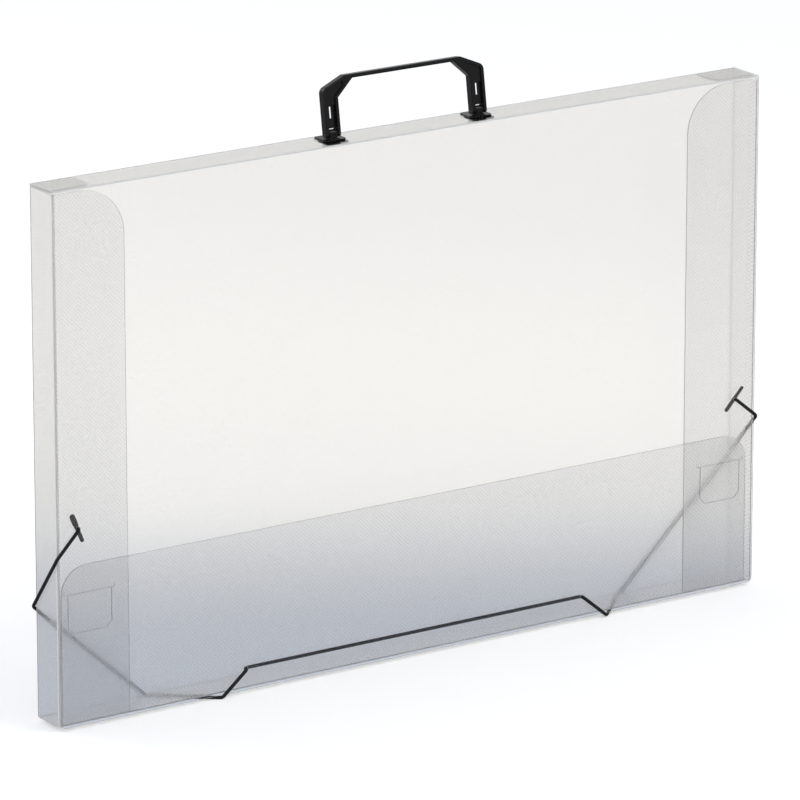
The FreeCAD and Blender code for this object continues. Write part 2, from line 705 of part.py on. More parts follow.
def make_end_bar(name, side):
    """Moulded bar on the cord's end: a flat bar with round ends, lying behind the cover."""
    body = doc.addObject("PartDesign::Body", f"end_bar_{name}")
    outline = start_sketch(body, "BarOutline", "XZ_Plane")
    r, half = size("bar_width/2"), size("bar_length/2-bar_width/2")
    a, b = Vector(-r, -half, 0), Vector(-r, half, 0)
    c, d = Vector(r, half, 0), Vector(r, -half, 0)
    outline.addGeometry(Part.LineSegment(a, b))
    outline.addGeometry(Part.ArcOfCircle(Part.Circle(Vector(0, half, 0), Vector(0, 0, 1), r), 0, math.pi))
    outline.addGeometry(Part.LineSegment(c, d))
    outline.addGeometry(Part.ArcOfCircle(Part.Circle(Vector(0, -half, 0), Vector(0, 0, 1), r),
                                         math.pi, 2 * math.pi))
    for one, other in (((0, 2), (1, 2)), ((1, 1), (2, 1)), ((2, 2), (3, 2)), ((3, 1), (0, 1))):
        outline.addConstraint(Sketcher.Constraint("Coincident", *one, *other))
    rise = "(bar_length/2-bar_width/2)"
    hold(outline, 0, 1, "-bar_width/2", f"-{rise}")
    hold(outline, 0, 2, "-bar_width/2", rise)
    hold(outline, 2, 1, "bar_width/2", rise)
    hold(outline, 2, 2, "bar_width/2", f"-{rise}")
    hold_along(outline, 1, 3, "DistanceY", rise)
    hold_along(outline, 3, 3, "DistanceY", f"-{rise}")
    pad(body, "Bar", outline, "bar_thickness", both=True)
    face = size("bar_thickness/2")
    dressed(body, "Chamfer", "BarEdges", lambda e: abs(abs(e.CenterOfMass.y) - face) < 1e-3,
            Size="bar_edge")
    lean = f"bar_tilt_{name}"
    axis = Vector(0, side, 0)
    body.Placement = Placement(Vector(), Rotation(axis, size(lean)))
    body.setExpression("Placement.Rotation.Angle", spell(lean))
    bind(body, x=mirrored("half_width-bar_hole_inset", side),
         y="cover_back+cord_seat+bar_thickness/2", z="lift+bar_hole_height")
    return body


# ---------------------------------------------------------------- build, check and write
nodes = [make_back_panel(), make_bottom_wall(), make_spine(), make_front_cover(), make_closing_flap()]
for side_name, side_sign in SIDES:
    nodes += [make_side_wall(side_name, side_sign), make_side_flap(side_name, side_sign),
              make_top_tab(side_name, side_sign), make_anchor(side_name, side_sign),
              make_end_bar(side_name, side_sign)]
nodes.append(make_handle())
nodes += make_elastic()
doc.recompute()

for obj in doc.Objects:
    if "Invalid" in obj.State or "Error" in obj.State:
        raise ValueError(f"{obj.Label} failed: {obj.State}")
os.makedirs("parts", exist_ok=True)
for node in nodes:
    shape = node.Shape
    if shape.isNull() or not shape.isValid() or len(shape.Solids) != 1:
        raise ValueError(f"{node.Label} is not one valid solid")
    shape.exportStep(f"parts/{node.Label}.step")
    print(f"{node.Label:22s} {shape.Volume:10.1f} mm3")
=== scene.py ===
# %% [markdown]
# # A slim carrying case of translucent sheet
#
# The object is one die-cut sheet of frosted plastic, folded into a flat tray with a spine
# and a cover, a black moulded handle that swings on two feet, and one black elastic cord. The
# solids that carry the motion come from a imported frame, so nothing here has to be placed by eye.
# This file dresses them: it draws each part of the sheet flat, folds it in code, sweeps the cord
# along its route, and gives every surface its finish. The frame is loaded first, because every
# later size is read from it.

# %% Load the frame
import math
import bmesh
import bpy
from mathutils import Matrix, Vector
from mathutils.geometry import delaunay_2d_cdt


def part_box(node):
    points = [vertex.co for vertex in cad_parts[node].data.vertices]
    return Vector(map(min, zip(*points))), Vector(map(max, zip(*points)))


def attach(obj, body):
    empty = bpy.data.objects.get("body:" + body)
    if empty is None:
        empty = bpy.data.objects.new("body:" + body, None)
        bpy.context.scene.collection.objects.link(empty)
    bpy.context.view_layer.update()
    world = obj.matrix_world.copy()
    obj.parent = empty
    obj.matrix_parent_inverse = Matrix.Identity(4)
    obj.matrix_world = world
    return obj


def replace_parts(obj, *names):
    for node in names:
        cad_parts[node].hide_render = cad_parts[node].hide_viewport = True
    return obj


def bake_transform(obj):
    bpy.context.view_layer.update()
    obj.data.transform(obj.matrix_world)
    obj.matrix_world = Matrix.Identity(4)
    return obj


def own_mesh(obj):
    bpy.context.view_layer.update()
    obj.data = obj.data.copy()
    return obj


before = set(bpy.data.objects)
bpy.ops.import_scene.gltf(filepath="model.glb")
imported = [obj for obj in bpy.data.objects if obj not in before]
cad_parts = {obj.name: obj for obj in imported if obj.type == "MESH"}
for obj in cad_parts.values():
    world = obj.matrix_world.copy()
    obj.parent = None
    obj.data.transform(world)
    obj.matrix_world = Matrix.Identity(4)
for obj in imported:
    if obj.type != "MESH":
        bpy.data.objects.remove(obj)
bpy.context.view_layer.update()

# %% [markdown]
# ## Sizes
#
# Every place is worked out from the frame's own boxes, so the looks follow the solids when a size
# changes there. What the boxes don't say, such as the bend radius of a crease, is a named value in
# metres. The sheets are described by the plane through their middle, because that is the surface
# that is folded; their thickness is added later.

# %% Sizes read from the frame
MM = 0.001
cover_low, cover_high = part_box("front_cover")
flap_low, flap_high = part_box("closing_flap")
back_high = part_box("back_panel")[1]
side_low, side_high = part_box("side_flap_right")
spine_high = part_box("spine_panel")[1]
tab_low, tab_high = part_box("top_tab_right")
anchor_low, anchor_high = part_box("handle_anchor_right")

WALL = cover_high.y - cover_low.y
HALF_WIDTH = cover_high.x
FLOOR = cover_low.z                       # underside of the case, on its two elastic runs
TOP = spine_high.z
COVER_Y = (cover_low.y + cover_high.y) / 2
FLAP_Y = flap_low.y + WALL / 2
SIDE_FLAP_Y = side_low.y + WALL / 2
BACK_Y = back_high.y - WALL / 2
SPINE_Z = TOP - WALL / 2
FLOOR_Z = FLOOR + WALL / 2
TAB_Z = tab_low.z + WALL / 2
FOLD = 0.6 * MM                           # bend radius of a crease, at the middle of the sheet
TURN = FOLD * math.pi / 2                 # length of sheet that a crease takes up
BUTT = 0.02 * MM                          # hairline between two lengths of sheet at a crease
SEAT = 0.05 * MM                          # between the cord or a bar and the sheet that it lies on
SIDES = (("left", -1), ("right", 1))      # a side's name and the sign of its x
print(f"case {2 * HALF_WIDTH:.3f} m wide, {TOP - FLOOR:.3f} m tall, sheet {WALL * 1000:.1f} mm")

# %% [markdown]
# ## Camera
#
# The case is seen from the left and a little above, through a long lens.
# A wide lens close by would make its upright edges lean together; a long lens from four metres
# away keeps them nearly parallel, which is how the eye expects a case to stand. The camera is
# placed by two angles and a distance from the point that it aims at, so that each can be changed
# by itself.

# %% Camera
def add_object(name, data):
    """A new object that is linked into the scene."""
    made = bpy.data.objects.new(name, data)
    bpy.context.scene.collection.objects.link(made)
    return made


CAMERA_YAW = math.radians(34.0)           # to the left of straight on
CAMERA_PITCH = math.radians(16.44)        # looking down
CAMERA_DISTANCE = 4.26
CAMERA_LENS = 310.2
AIM = Vector((-0.0038, 0, FLOOR + 0.162))

look = Vector((math.sin(CAMERA_YAW) * math.cos(CAMERA_PITCH),
               math.cos(CAMERA_YAW) * math.cos(CAMERA_PITCH), -math.sin(CAMERA_PITCH)))
camera = add_object("camera", bpy.data.cameras.new("camera"))
camera.data.lens = CAMERA_LENS
camera.data.sensor_width = 36
camera.data.clip_end = 50
camera.location = AIM - look * CAMERA_DISTANCE
camera.rotation_euler = look.to_track_quat("-Z", "Y").to_euler()
bpy.context.scene.camera = camera
print(f"camera {CAMERA_DISTANCE} m away, {CAMERA_LENS} mm lens")

# %% [markdown]
# ## Building node trees in code
#
# A material in Blender is a small graph of nodes, and so are the world's light and a Geometry
# Nodes tree. Drawn by hand in an editor such a graph is easy to read, but in code each node takes
# several lines. Three helpers keep the graphs below short: one gives two short-hands for any tree,
# one starts an empty material, and one makes a Math node from sockets or plain numbers.

# %% Node helpers
def tree_tools(tree):
    """Two short-hands for a node tree: one adds a node with its settings, one joins sockets."""
    def add(kind, **settings):
        node = tree.nodes.new(kind)
        for key, value in settings.items():
            setattr(node, key, value)
        return node

    def join(source, target):
        tree.links.new(source, target)
    return add, join


def new_material(name):
    """A material with nothing in its tree but the output, and the tools to add to it."""
    material = bpy.data.materials.new(name)
    material.use_nodes = True
    material.node_tree.nodes.clear()
    add, join = tree_tools(material.node_tree)
    return material, add, join, add("ShaderNodeOutputMaterial")


def math_node(add, join, operation, first, second=None, third=None):
    """A Math node whose inputs are sockets or plain numbers."""
    node = add("ShaderNodeMath", operation=operation)
    for socket, value in zip(node.inputs, (first, second, third)):
        if value is None:
            continue
        if isinstance(value, (int, float)):
            socket.default_value = value
        else:
            join(value, socket)
    return node.outputs[0]


# %% [markdown]
# ## The floor
#
# A frosted case shows what is behind it, so the floor is half of its look. The lower part of the
# sheet looks grey, and here that comes from a floor that is darker close to the case. Seen past
# the case, the same floor has to be white. So its shader tells rays apart with Light Path: the
# camera sees a white floor that still takes the soft shadow, and rays that have passed through the
# sheet see a shade that depends on the distance from the case. That is a stage trick, because a
# real floor is the same to every ray. The shade is a Color Ramp, with its stops listed, on a
# distance worked out from Object coordinates, so it doesn't move with the camera. It reaches
# further out on the left, away from the main lamp.

# %% Stage
FLOOR_SIZE = 14.0
# painted shade on the floor: the case's shadow close to it, seen through the sheet and in gloss
FLOOR_SHADES = (                          # distance from the case, and the floor's shade there
    (0.00, (0.56, 0.605, 0.68)),
    (0.05, (0.545, 0.585, 0.66)),
    (0.13, (0.645, 0.68, 0.735)),
    (0.24, (0.955, 0.955, 0.95)),
    (0.45, (1.00, 0.995, 0.985)),
    (0.60, (1.00, 0.995, 0.985)),
    (1.00, (0.91, 0.91, 0.91)),
)
SHADE_SKEW = 0.38                         # the shade lies further out to the left of the case
SHADE_REACH = 1 - SHADE_SKEW * 0.67       # slower with distance, to make up for the skew
FLOOR_WHITE = 0.8
CAMERA_GLOW = 0.32                        # lifts the floor to white for the camera alone
GLOSS_SEES = 0.55                         # how bright the floor is in what gloss shows of it


def distance_shade(add, join):
    """The floor's painted shadow: its colour by distance from the case's outline, skewed left."""
    place = add("ShaderNodeTexCoord")
    flat = add("ShaderNodeVectorMath", operation="ABSOLUTE")
    join(place.outputs["Object"], flat.inputs[0])
    past = add("ShaderNodeVectorMath", operation="SUBTRACT")
    past.inputs[1].default_value = (HALF_WIDTH, BACK_Y, 0)
    join(flat.outputs[0], past.inputs[0])
    clear = add("ShaderNodeVectorMath", operation="MAXIMUM")
    join(past.outputs[0], clear.inputs[0])
    apart = add("ShaderNodeVectorMath", operation="LENGTH")
    join(clear.outputs[0], apart.inputs[0])
    sides = add("ShaderNodeSeparateXYZ")
    join(place.outputs["Object"], sides.inputs[0])
    outward = math_node(add, join, "MULTIPLY", apart.outputs["Value"], SHADE_REACH)
    leftward = math_node(add, join, "MULTIPLY", sides.outputs["X"], SHADE_SKEW)
    shade = add("ShaderNodeValToRGB")
    join(math_node(add, join, "ADD", outward, leftward), shade.inputs["Fac"])
    ramp = shade.color_ramp
    for at, _ in FLOOR_SHADES[1:-1]:
        ramp.elements.new(at)
    for stop, (at, colour) in zip(ramp.elements, FLOOR_SHADES):
        stop.position = at
        stop.color = (*colour, 1)
    return shade.outputs["Color"]


def floor_material():
    material, add, join, output = new_material("studio_floor")
    paint = add("ShaderNodeBsdfDiffuse")
    paint.inputs["Color"].default_value = (FLOOR_WHITE, FLOOR_WHITE, FLOOR_WHITE, 1)
    path = add("ShaderNodeLightPath")
    through = math_node(add, join, "MAXIMUM", path.outputs["Is Transmission Ray"],
                        path.outputs["Is Glossy Ray"])
    reflected = math_node(add, join, "SUBTRACT", through, path.outputs["Is Transmission Ray"])
    dimmer = math_node(add, join, "MULTIPLY", reflected, GLOSS_SEES - 1)
    level = math_node(add, join, "ADD", dimmer, 1.0)
    seen = add("ShaderNodeEmission")
    join(distance_shade(add, join), seen.inputs["Color"])
    join(level, seen.inputs["Strength"])
    glow = add("ShaderNodeEmission")
    glow.inputs["Strength"].default_value = CAMERA_GLOW
    lit = add("ShaderNodeAddShader")
    join(paint.outputs[0], lit.inputs[0])
    join(glow.outputs[0], lit.inputs[1])
    to_camera = add("ShaderNodeMixShader")
    join(path.outputs["Is Camera Ray"], to_camera.inputs[0])
    join(paint.outputs[0], to_camera.inputs[1])
    join(lit.outputs[0], to_camera.inputs[2])
    to_glass = add("ShaderNodeMixShader")
    join(through, to_glass.inputs[0])
    join(to_camera.outputs[0], to_glass.inputs[1])
    join(seen.outputs[0], to_glass.inputs[2])
    join(to_glass.outputs[0], output.inputs["Surface"])
    return material


def make_floor():
    mesh = bpy.data.meshes.new("studio_floor")
    half = FLOOR_SIZE / 2
    mesh.from_pydata([(-half, -half, 0), (half, -half, 0), (half, half, 0), (-half, half, 0)],
                     [], [(0, 1, 2, 3)])
    mesh.materials.append(floor_material())
    add_object("studio_floor", mesh)


make_floor()
print(f"floor {FLOOR_SIZE} m across, {len(FLOOR_SHADES)} shades")

# %% [markdown]
# ## Light
#
# The world is an even soft light, a little blue as daylight in a white room is, with one large
# area lamp in front at the right and one behind at the left. Large lamps give soft shadows. A
# third, small lamp at the left draws a crisp glint along the edges of the black parts. The level is
# plain: a white card would come out just under white. The camera itself sees a clean white
# backdrop instead, and reflections and rays through the sheet a nearly white one.

# %% Light
WORLD_LIGHT = (0.80, 0.83, 0.88)
WORLD_STRENGTH = 0.8
WORLD_SEEN = 0.8                          # the backdrop in reflections and through the sheet


def make_world():
    world = bpy.data.worlds.new("studio")
    bpy.context.scene.world = world
    world.use_nodes = True
    world.node_tree.nodes.clear()
    add, join = tree_tools(world.node_tree)
    path = add("ShaderNodeLightPath")
    light, seen = add("ShaderNodeBackground"), add("ShaderNodeBackground")
    light.inputs["Color"].default_value = (*WORLD_LIGHT, 1)
    light.inputs["Strength"].default_value = WORLD_STRENGTH
    seen.inputs["Color"].default_value = (1, 1, 1, 1)
    join(math_node(add, join, "MAXIMUM", path.outputs["Is Camera Ray"], WORLD_SEEN),
         seen.inputs["Strength"])
    shown = path.outputs["Is Camera Ray"]
    for ray in ("Is Transmission Ray", "Is Glossy Ray"):
        shown = math_node(add, join, "MAXIMUM", shown, path.outputs[ray])
    mix = add("ShaderNodeMixShader")
    join(shown, mix.inputs[0])
    join(light.outputs[0], mix.inputs[1])
    join(seen.outputs[0], mix.inputs[2])
    join(mix.outputs[0], add("ShaderNodeOutputWorld").inputs["Surface"])


def area_light(name, place, aim, size, power):
    data = bpy.data.lights.new(name, "AREA")
    data.size = size
    data.energy = power
    lamp = add_object(name, data)
    lamp.location = place
    lamp.rotation_euler = (Vector(aim) - Vector(place)).to_track_quat("-Z", "Y").to_euler()
    print(f"{name}: {power} W, {size} m")


make_world()
area_light("key", (1.2, -1.6, 2.2), (0, 0, 0.2), 1.6, 26)
area_light("rim", (-1.0, 1.8, 1.6), (0, 0, 0.2), 1.4, 12)
area_light("glint", (-1.5, -1.5, 0.8), (0, 0, 0.35), 0.3, 9)

# %% [markdown]
# ## The sheet
#
# A panel of the real case is drawn flat, cut out, and folded along its creases. It could be
# modelled as a bent box, but then every hole, slit and round corner would have to be cut through
# bent faces. The code does what the factory does: an outline with its holes is triangulated flat,
# every point is then carried along a path that is straight on the panels and an arc at each
# crease, and Solidify gives the sheet its thickness. The path comes first: it turns a length along
# the flat sheet into a place, and lists where the sheet needs an edge so that it can bend.

# %% Folding
TURN_STEPS = 6                            # flat strips that make up one crease
SAME_LENGTH = 1e-12                       # lengths that differ by less are the same
LEFT_TURN, RIGHT_TURN = 1, -1


def fold_path(start, heading, side, runs=(0,)):
    """Maps a length along the flat sheet to a point of a path with a quarter turn after each run.

    After the last turn the path goes straight on, and with no runs given it turns at once.
    Returns the map, and the lengths at which the path starts or steps through a turn."""
    place, ahead = Vector(start), Vector(heading).normalized()
    parts, marks, at = [], [], 0.0
    for run in runs:
        parts.append((at, at + run, place, ahead, None))
        at, place = at + run, place + ahead * run
        inward = Vector((-ahead.y, ahead.x)) * side
        parts.append((at, at + TURN, place + inward * FOLD, ahead, inward))
        marks += [at + TURN * k / TURN_STEPS for k in range(TURN_STEPS + 1)]
        at, place = at + TURN, place + inward * FOLD + ahead * FOLD
        ahead = inward
    parts.append((at, math.inf, place, ahead, None))

    def carry(length):
        reached = (part for part in parts if length <= part[1] + SAME_LENGTH)
        begin, _, centre, forward, sideways = next(reached)
        if sideways is None:
            return centre + forward * (length - begin)
        angle = (length - begin) / FOLD
        return centre - sideways * FOLD * math.cos(angle) + forward * FOLD * math.sin(angle)
    return carry, marks


print(f"a crease takes up {TURN / MM:.2f} mm of sheet, in {TURN_STEPS} steps")

# %% [markdown]
# ## Flat outlines
#
# A die cuts the sheet, and a die is a flat line of blades. So each part starts as a loop of
# corners, some of them rounded by an arc that touches both sides. A curve object could draw the
# arcs too, but plain points can be handed straight to the triangulation, with the holes.

# %% Flat outlines
ARC_STEPS, HOLE_STEPS = 10, 24


def rounded_corner(before, corner, after, radius):
    """Points of the arc that rounds one corner of an outline."""
    if radius <= 0:
        return [tuple(corner)]
    b, c, a = Vector(before), Vector(corner), Vector(after)
    enter, leave = (b - c).normalized(), (a - c).normalized()
    half = enter.angle(leave) / 2
    middle = c + (enter + leave).normalized() * (radius / math.sin(half))
    first = c + enter * (radius / math.tan(half)) - middle
    sweep = math.pi - 2 * half
    turn = 1 if enter.cross(leave) < 0 else -1
    points = []
    for k in range(ARC_STEPS + 1):
        angle = turn * sweep * k / ARC_STEPS
        points.append((middle.x + first.x * math.cos(angle) - first.y * math.sin(angle),
                       middle.y + first.x * math.sin(angle) + first.y * math.cos(angle)))
    return points


def outline(corners):
    """A loop from (x, y, radius) corners."""
    loop = []
    for n, (x, y, radius) in enumerate(corners):
        before, after = corners[n - 1][:2], corners[(n + 1) % len(corners)][:2]
        loop += rounded_corner(before, (x, y), after, radius)
    return loop


def round_hole(x, y, radius):
    return [(x + radius * math.cos(2 * math.pi * k / HOLE_STEPS),
             y + radius * math.sin(2 * math.pi * k / HOLE_STEPS)) for k in range(HOLE_STEPS)]


def inside(point, loop):
    """True if a flat point lies within a closed loop."""
    x, y = point
    within = False
    for (x0, y0), (x1, y1) in zip(loop, loop[1:] + loop[:1]):
        if (y0 > y) != (y1 > y) and x < (x1 - x0) * (y - y0) / (y1 - y0) + x0:
            within = not within
    return within


print(f"arcs of {ARC_STEPS} steps, holes of {HOLE_STEPS}")

# %% [markdown]
# ## From flat to folded
#
# The loop, its holes and the crease lines go into a Delaunay triangulation, which keeps every one
# of those edges. Faces outside the loop or inside a hole are dropped, the points are carried to
# their folded places, and a Solidify modifier makes a plate of the surface. The flat drawing is
# kept as the UV map, so that a pattern pressed into the sheet before it was folded runs on over
# the creases. Two places on it aren't exact, because nobody sees it there: the closing flap lies
# a few millimetres off, and the tabs are turned over.

# %% From flat to folded
def apply_modifiers(piece):
    """Replaces the piece's mesh by what its modifiers make of it."""
    bpy.context.view_layer.update()
    graph = bpy.context.evaluated_depsgraph_get()
    made = bpy.data.meshes.new_from_object(piece.evaluated_get(graph),
                                           preserve_all_data_layers=True, depsgraph=graph)
    piece.modifiers.clear()
    piece.data = made


def thicken(piece):
    """Gives a folded surface the sheet's thickness, half to each side."""
    solid = piece.modifiers.new("thickness", "SOLIDIFY")
    solid.thickness = WALL
    solid.offset = 0
    solid.use_even_offset = True
    solid.material_offset = 1
    solid.material_offset_rim = 2
    apply_modifiers(piece)
    for face in piece.data.polygons:
        face.use_smooth = False


def cut_flat(loop, holes, creases):
    """Triangulates the sheet between loop and holes, with an edge along each crease."""
    points, edges = [], []
    for ring in [loop, *holes]:
        first = len(points)
        points += [Vector(p) for p in ring]
        edges += [(first + k, first + (k + 1) % len(ring)) for k in range(len(ring))]
    for a, b in creases:
        edges.append((len(points), len(points) + 1))
        points += [Vector(a), Vector(b)]
    flat, _, triangles, *_ = delaunay_2d_cdt(points, edges, [], 0, 1e-7)
    faces, middles = [], []
    for face in triangles:
        middle = sum((flat[k] for k in face), Vector((0, 0))) / len(face)
        if inside(middle, loop) and not any(inside(middle, hole) for hole in holes):
            faces.append(face)
            middles.append(middle)
    return flat, faces, middles


def sheet_piece(name, loop, holes, creases, carry, blank, finishes, finish_at):
    """A folded sheet, cut flat with an edge along each crease.

    carry(u, v) gives each flat point its place, blank(u, v) its UV on the whole blank, and
    finish_at(u, v) the first finish there, of the three for outside, inside and cut edge."""
    flat, faces, middles = cut_flat(loop, holes, creases)
    mesh = bpy.data.meshes.new(name)
    mesh.from_pydata([carry(p.x, p.y) for p in flat], [], faces)
    chart = mesh.uv_layers.new(name="blank")
    for corner in mesh.loops:
        chart.data[corner.index].uv = blank(*flat[corner.vertex_index])
    for finish in finishes:
        mesh.materials.append(finish)
    for face, middle in zip(mesh.polygons, middles):
        face.material_index = finish_at(*middle)
    piece = add_object(name, mesh)
    clean = bmesh.new()
    clean.from_mesh(mesh)
    loose = [v for v in clean.verts if not v.link_faces]
    bmesh.ops.delete(clean, geom=loose, context="VERTS")
    clean.to_mesh(mesh)
    clean.free()
    thicken(piece)
    print(f"{name}: {len(piece.data.polygons)} faces")
    return piece


# %% [markdown]
# ## Frosted sheet
#
# The sheet is nearly clear plastic, most likely polypropylene, with a fine slanting hatch on one
# face and a satin surface on the other. A Principled shader with full transmission and a little
# roughness gives a slight blur, but that alone shows dark things behind the sheet too black. So
# the surface gets two roughnesses: it is cut into small cells, and White Noise makes a chosen share
# of them rough, like pits in a smoother skin. The pits send light far aside, which lays a pale
# veil over what is behind and leaves its outline crisp.
# The hatch is a sine along the diagonal of the UV map. It drives a Bump, and on the flaps also the
# colour, as painted shade and light in darker and lighter lines along the ridges, because there one
# hatched sheet lies over another and the lines show more. A flap's inner face has the hatch the
# other way round, so that lines cross there.

# %% Hatch and frost
HATCH_PITCH = 1.85 * MM
HATCH_HEIGHT = 0.05 * MM
PIT = 0.15 * MM
PIT_ROUGHNESS = 0.6


def hatch_ridge(add, join, slant):
    """A sine wave across the hatch's lines, which lean the way that slant's sign says."""
    chart = add("ShaderNodeUVMap", uv_map="blank")
    parts = add("ShaderNodeSeparateXYZ")
    join(chart.outputs["UV"], parts.inputs[0])
    upright = math_node(add, join, "MULTIPLY", parts.outputs["Y"], slant)
    along = math_node(add, join, "ADD", parts.outputs["X"], upright)
    phase = math_node(add, join, "MULTIPLY", along, 2 * math.pi / (HATCH_PITCH * math.sqrt(2)))
    return math_node(add, join, "SINE", phase)


def pitted_roughness(add, join, smooth, haze):
    """The smooth skin's roughness, but for a share of small cells that are rough."""
    place = add("ShaderNodeTexCoord")
    cell = add("ShaderNodeVectorMath", operation="SNAP")
    cell.inputs[1].default_value = (PIT, PIT, PIT)
    join(place.outputs["Object"], cell.inputs[0])
    chance = add("ShaderNodeTexWhiteNoise", noise_dimensions="3D")
    join(cell.outputs[0], chance.inputs["Vector"])
    pitted = math_node(add, join, "LESS_THAN", chance.outputs["Value"], haze)
    return math_node(add, join, "MULTIPLY_ADD", pitted, PIT_ROUGHNESS - smooth, smooth)


print(f"hatch every {HATCH_PITCH / MM:.2f} mm, pits of {PIT / MM:.2f} mm")

# %% [markdown]
# ## Finishes of the sheet's parts
#
# The real case is one sheet with one finish. Here the back, the cover and the flaps have their own
# shares of pits and slightly different tints, because only so do the layers together look as they
# do on the real case. Creases and cut edges look whitish, as bent plastic does, so they get a
# rougher finish, partly diffuse, instead of a dark glassy line, and the tray's creases a paler one
# than the rest. Each sheet has three slots, for its outside, its inside and its cut edge, because
# Solidify can shift the slot for the back face and for the rim.

# %% Sheet finishes
PLASTIC_IOR = 1.45
OUTSIDE_ROUGHNESS, INSIDE_ROUGHNESS, CREASE_ROUGHNESS = 0.13, 0.10, 0.5
PANEL_TINT = (1.0, 0.995, 0.985)
# the sheet's tint, a little greyer and bluer on the flaps as painted shade of the layers
SHADED_FLAP_TINT = (0.98, 0.985, 1.0)
SIDE_CREASE_TINT = (0.98, 0.975, 0.97)    # the tray's creases, which look palest
# greyer than the sheet: a painted shade along the hinged creases and the cut edges
SHADED_TURN_TINT = (0.86, 0.86, 0.865)           # the hinged panels' creases, and cut edges
BACK_HAZE, FLAP_HAZE, COVER_HAZE = 0.19, 0.22, 0.01   # share of each face that is pits
SIDE_WHITENING, TURN_WHITENING = 0.6, 0.45            # share of diffuse light at a crease


def sheet_material(name, tint, roughness, haze=0.0, slant=0, relief=0.0, depth=0.0, whiteness=0.0):
    """Frosted plastic. slant is the hatch's direction, relief its bump, depth its shading."""
    material, add, join, output = new_material(name)
    shader = add("ShaderNodeBsdfPrincipled")
    shader.inputs["Base Color"].default_value = (*tint, 1)
    shader.inputs["Roughness"].default_value = roughness
    shader.inputs["IOR"].default_value = PLASTIC_IOR
    shader.inputs["Transmission Weight"].default_value = 1.0 - whiteness
    if haze:
        join(pitted_roughness(add, join, roughness, haze), shader.inputs["Roughness"])
    if slant:
        ridge = hatch_ridge(add, join, slant)
        bump = add("ShaderNodeBump")
        bump.inputs["Strength"].default_value = relief
        bump.inputs["Distance"].default_value = HATCH_HEIGHT
        join(ridge, bump.inputs["Height"])
        join(bump.outputs[0], shader.inputs["Normal"])
    # painted shade and light: the colour goes darker and lighter along the hatch's ridges
    if depth:
        mix = add("ShaderNodeMix", data_type="RGBA")
        join(math_node(add, join, "MULTIPLY_ADD", ridge, 0.5, 0.5), mix.inputs["Factor"])
        for socket, sign in ((mix.inputs[6], -1), (mix.inputs[7], 1)):
            socket.default_value = (*[min(1.0, c * (1 + sign * depth)) for c in tint], 1)
        join(mix.outputs[2], shader.inputs["Base Color"])
    join(shader.outputs[0], output.inputs["Surface"])
    return material


# Its default tint greys a crease or cut edge as painted shade; the diffuse share is the whitening.
def whitened_material(name, tint=SHADED_TURN_TINT, whiteness=TURN_WHITENING):
    return sheet_material(name, tint, CREASE_ROUGHNESS, whiteness=whiteness)


def sheet_finishes(name, tint, haze, outside, inside):
    """The three finishes of one sheet: its two faces, each (slant, relief, depth), and its rim."""
    return [sheet_material(f"{name}_outside", tint, OUTSIDE_ROUGHNESS, haze, *outside),
            sheet_material(f"{name}_inside", tint, INSIDE_ROUGHNESS, haze, *inside),
            whitened_material(f"{name}_cut_edge")]


PLAIN = (0, 0.0, 0.0)                     # no hatch
back_finish = sheet_finishes("panel", PANEL_TINT, BACK_HAZE, (1, 0.25, 0.0), PLAIN)
cover_finish = sheet_finishes("cover", PANEL_TINT, COVER_HAZE, (1, 0.15, 0.0), PLAIN)
flap_finish = sheet_finishes("flap", SHADED_FLAP_TINT, FLAP_HAZE, (1, 0.35, 0.11), (-1, 0.25, 0.11))
FACES = ("outside", "inside", "cut_edge")
crease_finish = [whitened_material(f"crease_{face}") for face in FACES]
side_crease_finish = [whitened_material(f"side_crease_{face}", SIDE_CREASE_TINT, SIDE_WHITENING)
                      for face in FACES]
CREASE = 3                                # where the crease's finishes start on a sheet's list
print("sheet finishes:", [m.name for m in back_finish + cover_finish + flap_finish])
print("crease finishes:", [m.name for m in crease_finish + side_crease_finish])

# %% [markdown]
# ## The tray
#
# Back, two side walls, two side flaps and bottom are one cross-shaped piece of the blank. The
# wings turn forward twice, at the wall and at the flap, and the bottom turns forward once. Two
# fold paths describe this: one for the distance from the middle, one for the depth below the
# back. Because the wings and the bottom never overlap on the flat, one function can place any
# point of the whole piece. The walls reach right up to the cover, and the side flaps are set back
# from them by a narrow slanting strip, which leaves room for the closing flap in front of them.

# %% How the tray folds
SIDE_FLAP_CORNER = 30.0 * MM
SIDE_FLAP_EDGE = side_low.x
SIDE_FLAP_TOP = side_high.z
SIDE_MID = HALF_WIDTH - WALL / 2
WING = SIDE_MID - FOLD                    # flat distance from the middle to the first crease
WALL_RUN = BACK_Y - SIDE_FLAP_Y - 2 * FOLD
BOTTOM_RUN = BACK_Y - FLAP_Y - 2 * FOLD
FLAP_START = WING + 2 * TURN + WALL_RUN
FLAP_END = FLAP_START + WING - SIDE_FLAP_EDGE
UPRIGHT_END = FLOOR_Z + FOLD              # height at which the back starts to turn under
STRIP_END = flap_high.x + 0.3 * MM        # the side flap is set back from here inward
STRIP_DEPTH = SIDE_FLAP_Y - WALL / 2 - cover_high.y - BUTT

across, across_marks = fold_path((0, BACK_Y), (1, 0), RIGHT_TURN, (WING, WALL_RUN))
down, down_marks = fold_path((BACK_Y, UPRIGHT_END), (0, -1), RIGHT_TURN)


def set_forward(x, y):
    """How far a wing's point stands in front of its flap's plane, so the wall meets the cover."""
    share = min(1.0, (BACK_Y - y) / (BACK_Y - SIDE_FLAP_Y))
    return STRIP_DEPTH * share * min(1.0, max(0.0, (x - STRIP_END) / (WING - STRIP_END)))


def tray_place(u, v):
    """Flat tray to folded tray: wings turn forward at the sides, the bottom turns forward below."""
    plan = across(abs(u))
    if v < UPRIGHT_END:
        below = down(UPRIGHT_END - v)
        return math.copysign(plan.x, u), below.x, below.y
    return math.copysign(plan.x, u), plan.y - set_forward(plan.x, plan.y), v


